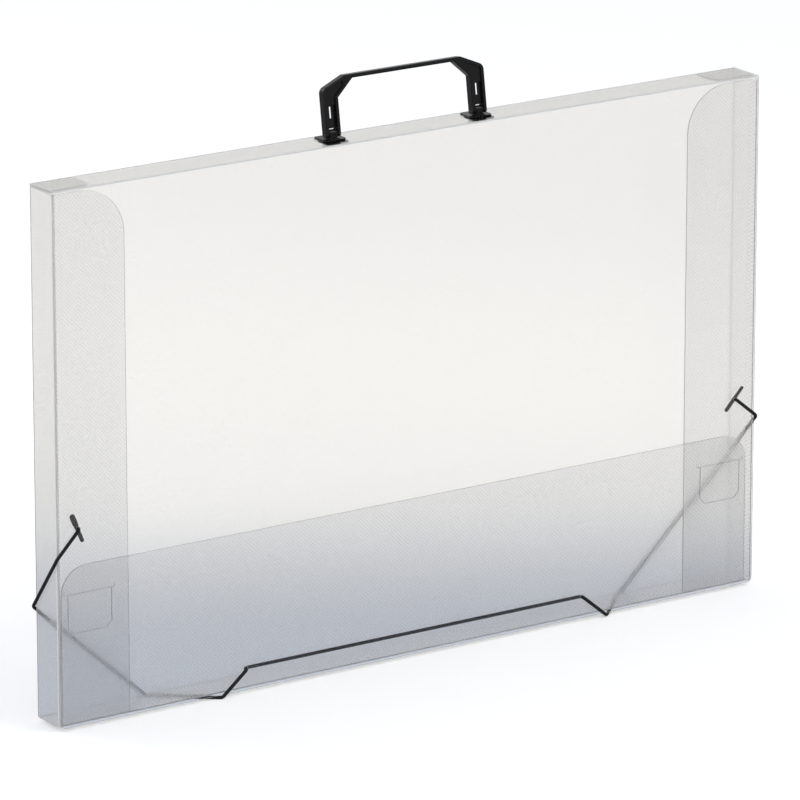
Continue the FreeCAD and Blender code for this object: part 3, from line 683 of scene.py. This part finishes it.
for run_name, run in (("side wall", WALL_RUN), ("bottom", BOTTOM_RUN), ("flap start", FLAP_START)):
    print(f"{run_name}: {run / MM:.1f} mm on the flat")

# %% [markdown]
# ## Slits for the tongues
#
# Each side flap has a thin slit with hooked ends, which the tongue of the closing flap tucks into.
# A slit is cut as a narrow closed ring in the flat outline, so it goes right through the sheet
# and its cut edges get their own finish like every other edge.

# %% Slits for the tongues
KERF = 0.16 * MM
SLIT_OVERRUN = 2.4 * MM
TONGUE_IN, TONGUE_OUT = 220.3 * MM, 251.3 * MM
TONGUE_TOP = FLOOR + 82.4 * MM
TONGUE_HEIGHT = 24.6 * MM
HOOK_RISE = 2.6 * MM


def side_slits():
    """Two hooked slits, drawn on the flat: a place x on the folded flap is further out there."""
    a, b = TONGUE_IN - SLIT_OVERRUN, TONGUE_OUT + SLIT_OVERRUN
    base, top, peak = TONGUE_TOP, TONGUE_TOP + KERF, TONGUE_TOP + HOOK_RISE
    hook = [(a, base), (b, base), (b, peak), (b - KERF, peak), (b - KERF, top),
            (a + KERF, top), (a + KERF, peak), (a, peak)]
    return [[(s * (FLAP_START + WING - x), z) for x, z in hook] for s in (-1, 1)]


print(f"slits {(TONGUE_OUT - TONGUE_IN + 2 * SLIT_OVERRUN) / MM:.1f} mm long")

# %% [markdown]
# ## Cutting and folding the tray
#
# The right half of the outline is written corner by corner and the left half is its mirror image,
# so both stay alike. The wings start a hair above the bottom's crease, because two creases can't
# run through one corner: the sheet would have to stretch there. The sheet's place on the whole
# blank goes into the UV map, measured from the cover's lower edge.

# %% The tray: back, side walls, side flaps and bottom in one
RELIEF = 0.3 * MM                         # the bottom is this much narrower than the back
WING_GAP = 0.1 * MM                       # between the wings and the bottom's crease
TAB_NOTCH = 0.5 * MM                      # from the wing's crease to the tab
FLAP_NOTCH = 1.0 * MM                     # from the tab's end to the flap
COVER_RUN = SPINE_Z - FOLD - FLOOR        # flat length of the cover's straight part
SPINE_RUN = BACK_Y - COVER_Y - 2 * FOLD


def tray_blank(u, v):
    return u, COVER_RUN + 2 * TURN + SPINE_RUN + (SPINE_Z - FOLD - v)


def tray_finish_at(u, v):
    """Which finish starts there: 0 the panels', 3 the creases', 6 the flaps'."""
    out = abs(u)
    at_wall = WING < out < WING + TURN or FLAP_START - TURN < out < FLAP_START
    if at_wall or UPRIGHT_END - TURN < v < UPRIGHT_END:
        return CREASE
    return 2 * CREASE if out > FLAP_START else 0


def make_tray():
    edge, wall_end = WING - RELIEF, FLAP_START - FLAP_NOTCH
    low = UPRIGHT_END - TURN - BOTTOM_RUN + BUTT
    wing_low, wall_top = UPRIGHT_END + WING_GAP, TAB_Z - FOLD - BUTT
    right = [(edge, low, 0), (edge, UPRIGHT_END, 0), (edge, wing_low, 0), (FLAP_END, wing_low, 0),
             (FLAP_END, SIDE_FLAP_TOP, SIDE_FLAP_CORNER), (wall_end, SIDE_FLAP_TOP, 0),
             (wall_end, wall_top, 0), (WING + TAB_NOTCH, wall_top, 0),
             (edge, SPINE_Z - FOLD - BUTT, 0)]
    left = [(-u, v, r) for u, v, r in reversed(right)]
    upright_marks = across_marks + [FLAP_START + WING - STRIP_END]
    creases = [((s * m, wing_low), (s * m, SIDE_FLAP_TOP)) for m in upright_marks for s in (-1, 1)]
    creases += [((-edge, UPRIGHT_END - m), (edge, UPRIGHT_END - m)) for m in down_marks]
    return sheet_piece("tray_sheet", outline(right + left), side_slits(), creases, tray_place,
                       tray_blank, back_finish + side_crease_finish + flap_finish, tray_finish_at)


tray_sheet = make_tray()
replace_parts(tray_sheet, "back_panel", "bottom_wall", "side_wall_left", "side_wall_right",
            "side_flap_left", "side_flap_right")
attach(tray_sheet, "tray")

# %% [markdown]
# ## Panels that hinge on a crease
#
# Spine, cover, closing flap and tabs each hang on a crease of the sheet. They could be placed as
# flat plates with a gap at the hinge, but a real crease is one piece with both its panels. So each
# panel is drawn with the crease at its first edge, which is v = 0, and one function folds them all.

# %% A panel that hinges on a crease
def hinged_panel(name, path, marks, corners, holes, finish, blank, carry=None):
    """A panel whose first two corners lie on its hinge crease, at v = 0."""
    def across_case(u, v):
        at = path(v)
        return u, at.x, at.y

    creases = [((corners[0][0], m), (corners[1][0], m)) for m in marks[1:]]
    return sheet_piece(name, outline(corners), holes, creases, carry or across_case, blank,
                       finish + crease_finish, lambda u, v: CREASE if v < TURN else 0)


def panel_corners(half, end, radius=0.0):
    """A panel as wide as 2 half and as long as end, with its two free corners rounded."""
    return [(-half, 0, 0), (half, 0, 0), (half, end, radius), (-half, end, radius)]


def box_ring(x, y, width, height):
    x0, x1, y0, y1 = x - width / 2, x + width / 2, y - height / 2, y + height / 2
    return [(x0, y0), (x1, y0), (x1, y1), (x0, y1)]


print(f"the first {TURN / MM:.2f} mm of a hinged panel are its crease")

# %% [markdown]
# ## The spine
#
# The spine is the top wall between back and cover, and it carries the handle, with a slot for the
# neck of each foot. It hinges on the back, and the crease between them has to bend when the case
# opens. A rigid hinge would leave a gap, so the crease belongs to this piece.

# %% The spine
spine_path, spine_marks = fold_path((BACK_Y, SPINE_Z - FOLD), (0, 1), LEFT_TURN)
ANCHOR_X = (anchor_low.x + anchor_high.x) / 2
NECK_SLOT = (12.2 * MM, 1.8 * MM)


def make_spine():
    def blank(u, v):
        return u, COVER_RUN + TURN + SPINE_RUN + TURN - v

    corners = panel_corners(HALF_WIDTH, TURN + SPINE_RUN - BUTT)
    slots = [box_ring(s * ANCHOR_X, TURN + BACK_Y - FOLD, *NECK_SLOT) for s in (-1, 1)]
    return hinged_panel("spine_sheet", spine_path, spine_marks, corners, slots, cover_finish, blank)


spine_sheet = make_spine()
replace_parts(spine_sheet, "spine_panel")
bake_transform(spine_sheet)

# %% [markdown]
# ## The cover
#
# The cover is the outermost sheet, hung from the front edge of the spine. It has two holes near
# its sides where the elastic ends, and two low down where the elastic comes back through. Its
# crease is part of this piece, for the same reason as the spine's.

# %% The cover
cover_path, cover_marks = fold_path((COVER_Y + FOLD, SPINE_Z), (-1, 0), LEFT_TURN)
COVER_CORNER = 4.0 * MM
BAR_HOLE = (HALF_WIDTH - 14.8 * MM, FLOOR + 124.5 * MM)
PASS_HOLE = (HALF_WIDTH - 133.5 * MM, FLOOR + 13.8 * MM)
HOLE_RADIUS = 1.5 * MM


def make_cover():
    def blank(u, v):
        return u, COVER_RUN + TURN - v

    def flat(z):
        return TURN + SPINE_Z - FOLD - z

    corners = panel_corners(HALF_WIDTH, flat(FLOOR), COVER_CORNER)
    holes = [round_hole(s * x, flat(z), HOLE_RADIUS)
             for s in (-1, 1) for x, z in (BAR_HOLE, PASS_HOLE)]
    return hinged_panel("cover_sheet", cover_path, cover_marks, corners, holes, cover_finish, blank)


cover_sheet = make_cover()
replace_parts(cover_sheet, "front_cover")
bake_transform(cover_sheet)

# %% [markdown]
# ## The closing flap
#
# The bottom wall ends in a flap that folds up behind the cover and keeps the drawings in. Near
# each end a tongue is cut out of it on three sides; it stays in the flap's plane until it is
# tucked in. Each tongue is drawn as one thin ring that is open along its hinge.

# %% The closing flap
flap_path, flap_marks = fold_path((FLAP_Y + FOLD, FLOOR_Z), (-1, 0), RIGHT_TURN)
FLAP_CORNER = 18.0 * MM
TONGUE_CORNER = 4.0 * MM


def tongue_cut():
    """The thin ring that frees a tongue on three sides, with its lower corners cut off."""
    foot = TONGUE_TOP - TONGUE_HEIGHT
    a, b, c, k = TONGUE_IN, TONGUE_OUT, TONGUE_CORNER, KERF
    trim = k * math.tan(math.pi / 8)
    return [(a, TONGUE_TOP), (a, foot + c), (a + c, foot), (b - c, foot), (b, foot + c),
            (b, TONGUE_TOP), (b - k, TONGUE_TOP), (b - k, foot + c + trim),
            (b - c - trim, foot + k), (a + c + trim, foot + k), (a + k, foot + c + trim),
            (a + k, TONGUE_TOP)]


def make_closing_flap():
    def blank(u, v):
        return u, COVER_RUN + 3 * TURN + 2 * SPINE_RUN + COVER_RUN + v

    def flat(z):
        return TURN + z - FLOOR_Z - FOLD

    corners = panel_corners(flap_high.x, flat(flap_high.z), FLAP_CORNER)
    cuts = [[(s * x, flat(z)) for x, z in tongue_cut()] for s in (-1, 1)]
    return hinged_panel("closing_flap_sheet", flap_path, flap_marks, corners, cuts, flap_finish,
                        blank)


closing_flap_sheet = make_closing_flap()
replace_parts(closing_flap_sheet, "closing_flap")
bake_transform(closing_flap_sheet)

# %% [markdown]
# ## The top tabs
#
# Each side wall ends at the top in a small tab that is folded in under the spine, so that nothing
# slips out at the corner. Both are made by one function with a sign for the side. A mirrored
# surface has its faces turned round, but Solidify goes the same way to both sides of the sheet's
# middle and closes the rim to suit, so both tabs end up with their faces outward.

# %% The top tabs
TAB_END = tab_low.x
TAB_CORNER = 5.0 * MM


def make_tab(name, s):
    path, marks = fold_path((SIDE_MID, TAB_Z - FOLD), (0, 1), LEFT_TURN)

    def carry(u, v):
        at = path(v)
        return s * at.x, u, at.y

    def blank(u, v):
        return s * (WING + TURN + BACK_Y - FOLD - u), COVER_RUN + SPINE_RUN + v

    end = TURN + WING - TAB_END
    corners = [(tab_low.y, 0, 0), (tab_high.y, 0, 0), (tab_high.y, end, 0),
               (tab_low.y, end, TAB_CORNER)]
    tab = hinged_panel(f"tab_sheet_{name}", path, marks, corners, [], cover_finish, blank, carry)
    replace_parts(tab, f"top_tab_{name}")
    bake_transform(tab)


for side_name, side_sign in SIDES:
    make_tab(side_name, side_sign)


# %% [markdown]
# ## Black moulded finish
#
# The handle and its feet are injection-moulded and nearly black, with a satin skin that is a
# little uneven close up. The colour is kept just above black, because a pure black has no form.
# What the eye reads is the highlight along each edge, so the roughness is low and a fine noise
# in the Bump breaks the reflection up. A used handle is never evenly satin, so a second, larger
# noise varies the roughness slowly over the piece.

# %% Black finish
GRAIN_SCALE, GRAIN_DETAIL, GRAIN_HEIGHT = 2500, 3, 0.03 * MM
WEAR_SCALE, WEAR_RANGE = 90, 0.16         # how fine the wear is, and how far it moves the gloss


def black_material(name, tint, roughness, gloss, grain):
    material, add, join, output = new_material(name)
    shader = add("ShaderNodeBsdfPrincipled")
    shader.inputs["Base Color"].default_value = (*tint, 1)
    shader.inputs["Specular IOR Level"].default_value = gloss
    place = add("ShaderNodeTexCoord")
    wear = add("ShaderNodeTexNoise")
    wear.inputs["Scale"].default_value = WEAR_SCALE
    join(place.outputs["Object"], wear.inputs["Vector"])
    worn = math_node(add, join, "MULTIPLY_ADD", wear.outputs["Fac"], WEAR_RANGE,
                     roughness - WEAR_RANGE / 2)
    join(worn, shader.inputs["Roughness"])
    noise = add("ShaderNodeTexNoise")
    noise.inputs["Scale"].default_value = GRAIN_SCALE
    noise.inputs["Detail"].default_value = GRAIN_DETAIL
    join(place.outputs["Object"], noise.inputs["Vector"])
    bump = add("ShaderNodeBump")
    bump.inputs["Strength"].default_value = grain
    bump.inputs["Distance"].default_value = GRAIN_HEIGHT
    join(noise.outputs["Fac"], bump.inputs["Height"])
    join(bump.outputs[0], shader.inputs["Normal"])
    join(shader.outputs[0], output.inputs["Surface"])
    return material


moulding = black_material("satin_moulding", (0.004, 0.004, 0.0045),
                          roughness=0.22, gloss=0.2, grain=0.15)
bar_finish = black_material("bar_moulding", (0.006, 0.006, 0.007),
                            roughness=0.25, gloss=0.22, grain=0.1)
print("black finishes:", moulding.name, bar_finish.name)

# %% [markdown]
# ## Handle and feet
#
# The handle's ribs, recesses and slots are already in its solid. What a solid lacks is the small
# radius that every moulded edge has, and without it no edge catches the light. A Bevel modifier
# limited by angle adds it to a copy of the mesh. The copy's triangles are first merged and
# dissolved into plain faces, because a bevel on loose triangles would tear them apart.

# %% Handle and feet
HANDLE_EDGE, FOOT_EDGE = 0.3 * MM, 0.2 * MM
BEVEL_STEPS = 3
SHARP = math.radians(35)                  # edges that turn more than this are broken
FLAT = math.radians(1)                    # edges that turn less than this are dissolved
WELD = 1e-6                               # corners closer than this are one


def broken_edges(name, node, width, material, body):
    """A copy of a moulded solid with every edge broken by a small radius."""
    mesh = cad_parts[node].data.copy()
    mesh.name = name
    work = bmesh.new()
    work.from_mesh(mesh)
    bmesh.ops.remove_doubles(work, verts=work.verts, dist=WELD)
    bmesh.ops.dissolve_limit(work, angle_limit=FLAT, verts=work.verts, edges=work.edges)
    work.to_mesh(mesh)
    work.free()
    mesh.materials.clear()
    mesh.materials.append(material)
    piece = add_object(name, mesh)
    bevel = piece.modifiers.new("edges", "BEVEL")
    bevel.width = width
    bevel.segments = BEVEL_STEPS
    bevel.limit_method = "ANGLE"
    bevel.angle_limit = SHARP
    bevel.use_clamp_overlap = True
    bevel.harden_normals = True
    apply_modifiers(piece)
    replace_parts(piece, node)
    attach(piece, body)
    print(f"{name}: {len(piece.data.polygons)} faces")


broken_edges("handle_bail", "handle", HANDLE_EDGE, moulding, "handle")
for side_name, _ in SIDES:
    broken_edges(f"handle_foot_{side_name}", f"handle_anchor_{side_name}", FOOT_EDGE, moulding,
                 "spine")

# %% [markdown]
# ## End bars
#
# Each end of the elastic is held by a small bar behind the cover, too long to slip back through
# the hole. It is a moulded pin with an oval section, thicker on one side of the cord than on the
# other, with rounded ends. A scaled cylinder would be even all along, so the code walks along the
# pin in rings: a smooth step swells it from thin to thick, and near each end the ring shrinks as a
# circle does. The two poles are closed with a fan of triangles.

# %% End bars
BAR_LENGTH = 20.0 * MM
BAR_DEPTH = 2.1 * MM
BAR_HALF_WIDTHS = {"left": (1.3 * MM, 1.9 * MM), "right": (1.35 * MM, 1.05 * MM)}   # low, high
BAR_TILT = {"left": math.radians(23.0), "right": math.radians(43.0)}
BAR_RINGS, BAR_SIDES = 40, 20
SWELL_START, SWELL_LENGTH = -0.1, 0.5     # where the bar swells, from -1 to 1 along it


def bar_girth(at, low, high):
    """Half the bar's width at a place between -1, its lower end, and 1, its upper end."""
    swell = min(1.0, max(0.0, (at - SWELL_START) / SWELL_LENGTH))
    width = low + (high - low) * swell * swell * (3 - 2 * swell)
    cap = 2 * width / BAR_LENGTH
    past = max(0.0, (abs(at) - 1 + cap) / cap)
    return width, math.sqrt(max(0.0, 1 - past * past))


def bar_mesh(name, s):
    """The bar as rings along its length, closed by a fan at each pole."""
    centre = Vector((s * BAR_HOLE[0], cover_high.y + SEAT + BAR_DEPTH / 2, BAR_HOLE[1]))
    tilt = s * BAR_TILT[name]
    along = Vector((math.sin(tilt), 0, math.cos(tilt)))
    across_bar = Vector((math.cos(tilt), 0, -math.sin(tilt)))
    work = bmesh.new()
    rings = []
    for k in range(1, BAR_RINGS):
        at = -math.cos(math.pi * k / BAR_RINGS)
        width, shrink = bar_girth(at, *BAR_HALF_WIDTHS[name])
        depth = min(BAR_DEPTH / 2, width)
        rings.append([work.verts.new(centre + along * (at * BAR_LENGTH / 2)
                                     + across_bar * (width * shrink * math.cos(a))
                                     + Vector((0, depth * shrink * math.sin(a), 0)))
                      for a in (2 * math.pi * n / BAR_SIDES for n in range(BAR_SIDES))])
    for lower, upper in zip(rings, rings[1:]):
        for n in range(BAR_SIDES):
            m = (n + 1) % BAR_SIDES
            work.faces.new((lower[n], lower[m], upper[m], upper[n]))
    for ring, end in ((rings[0], -1), (rings[-1], 1)):
        pole = work.verts.new(centre + along * (end * BAR_LENGTH / 2))
        for n in range(BAR_SIDES):
            work.faces.new((ring[n], ring[(n + 1) % BAR_SIDES], pole))
    bmesh.ops.recalc_face_normals(work, faces=work.faces)
    mesh = bpy.data.meshes.new(f"cord_bar_{name}")
    work.to_mesh(mesh)
    work.free()
    mesh.materials.append(bar_finish)
    for face in mesh.polygons:
        face.use_smooth = True
    return mesh


def end_bar(name, s):
    bar = add_object(f"cord_bar_{name}", bar_mesh(name, s))
    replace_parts(bar, f"end_bar_{name}")
    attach(bar, "cover")
    print(f"{bar.name}: {len(bar.data.polygons)} faces")


for side_name, side_sign in SIDES:
    end_bar(side_name, side_sign)

# %% [markdown]
# ## Braid of the elastic
#
# The elastic is a rubber core inside a woven sleeve. The yarns run round it in two opposite
# screws, over and under each other, so the surface shows small slanted diamonds. Modelling sixteen
# yarns along 0.75 m of cord would cost far more faces than the eye can use. Instead the cord
# carries an attribute with its length and its angle round the middle, the shader turns them into
# two crossing waves, and the higher wave at each point is the yarn on top. The lower yarn is
# coloured darker, a painted shade in the hollows of the weave. The angle is kept as a cosine and a
# sine, because a plain angle would jump at the seam.

# %% Elastic finish
CORD = 2.2 * MM
YARNS = 8                                 # yarns that run each way round
BRAID_LAY = 7.0 * MM                      # length in which a yarn goes once round
YARN_HEIGHT, YARN_RELIEF = 0.12 * MM, 0.8
YARN_ROUGHNESS, YARN_GLOSS = 0.62, 0.25
# the first colour is painted shade in the weave's hollows, the second the yarn's own near-black
SHADED_YARN_LOW, YARN_TOP = (0.003, 0.003, 0.004), (0.014, 0.014, 0.016)


def cord_material():
    material, add, join, output = new_material("elastic_braid")
    shader = add("ShaderNodeBsdfPrincipled")
    shader.inputs["Roughness"].default_value = YARN_ROUGHNESS
    shader.inputs["Specular IOR Level"].default_value = YARN_GLOSS
    braid = add("ShaderNodeAttribute", attribute_name="braid")
    parts = add("ShaderNodeSeparateXYZ")
    join(braid.outputs["Vector"], parts.inputs[0])
    angle = math_node(add, join, "ARCTAN2", parts.outputs["Y"], parts.outputs["X"])
    turns = math_node(add, join, "MULTIPLY", angle, YARNS)
    travel = math_node(add, join, "MULTIPLY", parts.outputs["Z"], 2 * math.pi * YARNS / BRAID_LAY)
    one_way = math_node(add, join, "SINE", math_node(add, join, "ADD", travel, turns))
    other_way = math_node(add, join, "SINE", math_node(add, join, "SUBTRACT", travel, turns))
    top_yarn = math_node(add, join, "MAXIMUM", one_way, other_way)
    bump = add("ShaderNodeBump")
    bump.inputs["Strength"].default_value = YARN_RELIEF
    bump.inputs["Distance"].default_value = YARN_HEIGHT
    join(top_yarn, bump.inputs["Height"])
    join(bump.outputs[0], shader.inputs["Normal"])
    # painted shade: the colour darkens where the lower yarn lies, in the weave's hollows
    ramp = add("ShaderNodeValToRGB")
    ramp.color_ramp.elements[0].color = (*SHADED_YARN_LOW, 1)
    ramp.color_ramp.elements[1].color = (*YARN_TOP, 1)
    join(top_yarn, ramp.inputs["Fac"])
    join(ramp.outputs["Color"], shader.inputs["Base Color"])
    join(shader.outputs[0], output.inputs["Surface"])
    return material


elastic_finish = cord_material()
print(f"{elastic_finish.name}: {2 * YARNS} yarns on a cord of {CORD / MM:.1f} mm")

# %% [markdown]
# ## Sweeping the cord with Geometry Nodes
#
# A cord pulled tight runs straight from one edge of the case to the next and bends only there. The
# route is therefore a handful of corners joined by edges, each with the radius of its bend as an
# attribute. The node tree turns the edges into a curve, rounds the corners with Fillet Curve, and
# sweeps a circle along it with Curve to Mesh. A curve object with a bevel could do the sweep, but
# it could not write the braid's attribute on the way. The tree's sizes are named inputs, so the
# same tree makes a thicker cord or a coarser one from the modifier panel.

# %% The cord's node tree
CORD_SIZES = {"Diameter": CORD, "Sides": 14, "Steps in a bend": 12}


def cord_tree():
    """Edges with a bend radius at each corner, made into a round cord that knows its braid."""
    tree = bpy.data.node_groups.new("cord_sweep", "GeometryNodeTree")
    face = tree.interface
    face.new_socket("Geometry", in_out="INPUT", socket_type="NodeSocketGeometry")
    for label, value in CORD_SIZES.items():
        kind = "NodeSocketInt" if isinstance(value, int) else "NodeSocketFloat"
        face.new_socket(label, in_out="INPUT", socket_type=kind)
    face.new_socket("Finish", in_out="INPUT", socket_type="NodeSocketMaterial")
    face.new_socket("Geometry", in_out="OUTPUT", socket_type="NodeSocketGeometry")
    add, join = tree_tools(tree)

    def feed(node, **sources):
        """Joins sockets to the node's inputs, by input name with _ for a space."""
        for label, source in sources.items():
            socket = node.inputs[label.replace("_", " ")]
            if isinstance(source, bpy.types.NodeSocket):
                join(source, socket)
            else:
                socket.default_value = source
        return node.outputs[0]

    def store(geometry, name, kind, value):
        node = add("GeometryNodeStoreNamedAttribute", data_type=kind, domain="POINT")
        return feed(node, Geometry=geometry, Name=name, Value=value)

    given = add("NodeGroupInput")
    half = math_node(add, join, "DIVIDE", given.outputs["Diameter"], 2)
    route = feed(add("GeometryNodeMeshToCurve"), Mesh=given.outputs["Geometry"])
    bend = feed(add("GeometryNodeInputNamedAttribute", data_type="FLOAT"), Name="bend")
    rounding = add("GeometryNodeFilletCurve", mode="POLY")
    rounded = feed(rounding, Curve=route, Count=given.outputs["Steps in a bend"], Radius=bend,
                   Limit_Radius=True)
    rounded = store(rounded, "along", "FLOAT", add("GeometryNodeSplineParameter").outputs["Length"])
    ring = feed(add("GeometryNodeCurvePrimitiveCircle"), Resolution=given.outputs["Sides"],
                Radius=half)
    spot = add("ShaderNodeVectorMath", operation="NORMALIZE")
    join(add("GeometryNodeInputPosition").outputs[0], spot.inputs[0])
    ring = store(ring, "around", "FLOAT_VECTOR", spot.outputs[0])
    cord = feed(add("GeometryNodeCurveToMesh"), Curve=rounded, Profile_Curve=ring, Fill_Caps=True)
    around = add("GeometryNodeInputNamedAttribute", data_type="FLOAT_VECTOR")
    along = add("GeometryNodeInputNamedAttribute", data_type="FLOAT")
    parts, braid = add("ShaderNodeSeparateXYZ"), add("ShaderNodeCombineXYZ")
    join(feed(around, Name="around"), parts.inputs[0])
    join(parts.outputs["X"], braid.inputs["X"])
    join(parts.outputs["Y"], braid.inputs["Y"])
    join(feed(along, Name="along"), braid.inputs["Z"])
    cord = store(cord, "braid", "FLOAT_VECTOR", braid.outputs[0])
    smooth = feed(add("GeometryNodeSetShadeSmooth"), Geometry=cord)
    real = feed(add("GeometryNodeRealizeInstances"), Geometry=smooth)
    painted = feed(add("GeometryNodeSetMaterial"), Geometry=real, Material=given.outputs["Finish"])
    join(painted, add("NodeGroupOutput").inputs["Geometry"])
    return tree


cord_sweep = cord_tree()
print("cord_sweep:", len(cord_sweep.nodes), "nodes")

# %% [markdown]
# ## One piece of cord
#
# A piece of cord starts as a mesh of bare edges with its bend radii, gets the tree as a modifier,
# and is turned into a plain mesh at once, because a piece that moves with the case has to hold its
# own faces. A sweep can come out with its skin turned inward, so the faces are made to agree.

# %% A cord along its routes
def cord_piece(name, routes):
    """Sweeps cords along routes of (corner, bend radius), as one mesh that rides on the cover."""
    corners = [corner for route in routes for corner in route]
    edges, first = [], 0
    for route in routes:
        edges += [(k, k + 1) for k in range(first, first + len(route) - 1)]
        first += len(route)
    mesh = bpy.data.meshes.new(name)
    mesh.from_pydata([point for point, _ in corners], edges, [])
    radii = mesh.attributes.new("bend", "FLOAT", "POINT")
    for n, (_, radius) in enumerate(corners):
        radii.data[n].value = radius
    piece = add_object(name, mesh)
    sweep = piece.modifiers.new("sweep", "NODES")
    sweep.node_group = cord_sweep
    for socket in cord_sweep.interface.items_tree:
        if socket.in_out == "INPUT" and socket.name in CORD_SIZES:
            sweep[socket.identifier] = CORD_SIZES[socket.name]
        elif socket.in_out == "INPUT" and socket.name == "Finish":
            sweep[socket.identifier] = elastic_finish
    apply_modifiers(piece)
    outward = bmesh.new()
    outward.from_mesh(piece.data)
    bmesh.ops.recalc_face_normals(outward, faces=outward.faces)
    outward.to_mesh(piece.data)
    outward.free()
    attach(piece, "cover")
    print(f"{name}: {len(piece.data.polygons)} faces")
    return piece


# %% [markdown]
# ## The elastic's route
#
# One cord keeps the whole case shut. From each end bar it comes forward through the cover, goes
# over the cover's side edge and round the side wall, slants down across the back, passes beneath
# the bottom wall, comes up the front and goes back through the lower hole, and runs behind the
# cover to the other side. The corners below are those turns, at half a cord's width from the
# sheets. When the cover opens, the loops at the back slacken on the real case; here every piece of
# cord simply rides with the cover.

# %% The elastic's route
OFF = CORD / 2 + SEAT
EDGE_BEND = 3.0 * MM                      # round a folded edge of the case
HOLE_BEND = 1.4 * MM                      # through a hole in the cover
SIDE_CROSS_FRONT = {"left": FLOOR + 108.0 * MM, "right": FLOOR + 111.5 * MM}
SIDE_CROSS_BACK = {"left": FLOOR + 71.0 * MM, "right": FLOOR + 80.0 * MM}
UNDER_BACK = {"left": HALF_WIDTH - 78.0 * MM, "right": HALF_WIDTH - 87.0 * MM}
UNDER_FRONT = HALF_WIDTH - 115.5 * MM
SPLICE = 2 * EDGE_BEND                    # how far past a bend the next piece of cord begins


def elastic():
    front, back, behind = cover_low.y - OFF, back_high.y + OFF, cover_high.y + OFF
    under, side_out = FLOOR - OFF, HALF_WIDTH + OFF
    (bar_x, bar_z), (pass_x, pass_z) = BAR_HOLE, PASS_HOLE
    ends, middle = [], []
    for name, s in SIDES:
        edge_back = Vector((s * UNDER_BACK[name], back, under))
        edge_front = Vector((s * UNDER_FRONT, front, under))
        corner_front = Vector((s * side_out, front, SIDE_CROSS_FRONT[name]))
        corner_back = Vector((s * side_out, back, SIDE_CROSS_BACK[name]))
        bar = Vector((s * bar_x, front, bar_z))
        hole = Vector((s * pass_x, front, pass_z))
        near_corner = corner_front + (bar - corner_front).normalized() * SPLICE
        near_edge = edge_front + (hole - edge_front).normalized() * SPLICE
        wrap = cord_piece(f"elastic_loop_{name}", [[
            (near_corner, 0), (corner_front, EDGE_BEND), (corner_back, EDGE_BEND),
            (edge_back, EDGE_BEND), (edge_front, EDGE_BEND), (near_edge, 0)]])
        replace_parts(wrap, f"elastic_corner_{name}", f"elastic_under_{name}")
        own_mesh(wrap)
        bar_side = Vector((s * bar_x, cover_high.y, bar_z))
        hole_behind = Vector((s * pass_x, behind, pass_z))
        ends.append([(bar_side, 0), (bar, HOLE_BEND), (near_corner, 0)])
        side = [(near_edge, 0), (hole, HOLE_BEND), (hole_behind, HOLE_BEND)]
        middle += side if s < 0 else side[::-1]
    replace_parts(cord_piece("elastic_front", ends + [middle]), "elastic_middle")


elastic()

# %% [markdown]
# ## Colour
#
# Standard keeps colours as they are written, without the film-like curve that Blender starts
# with.

# %% Finish
scene = bpy.context.scene
scene.view_settings.view_transform = "Standard"
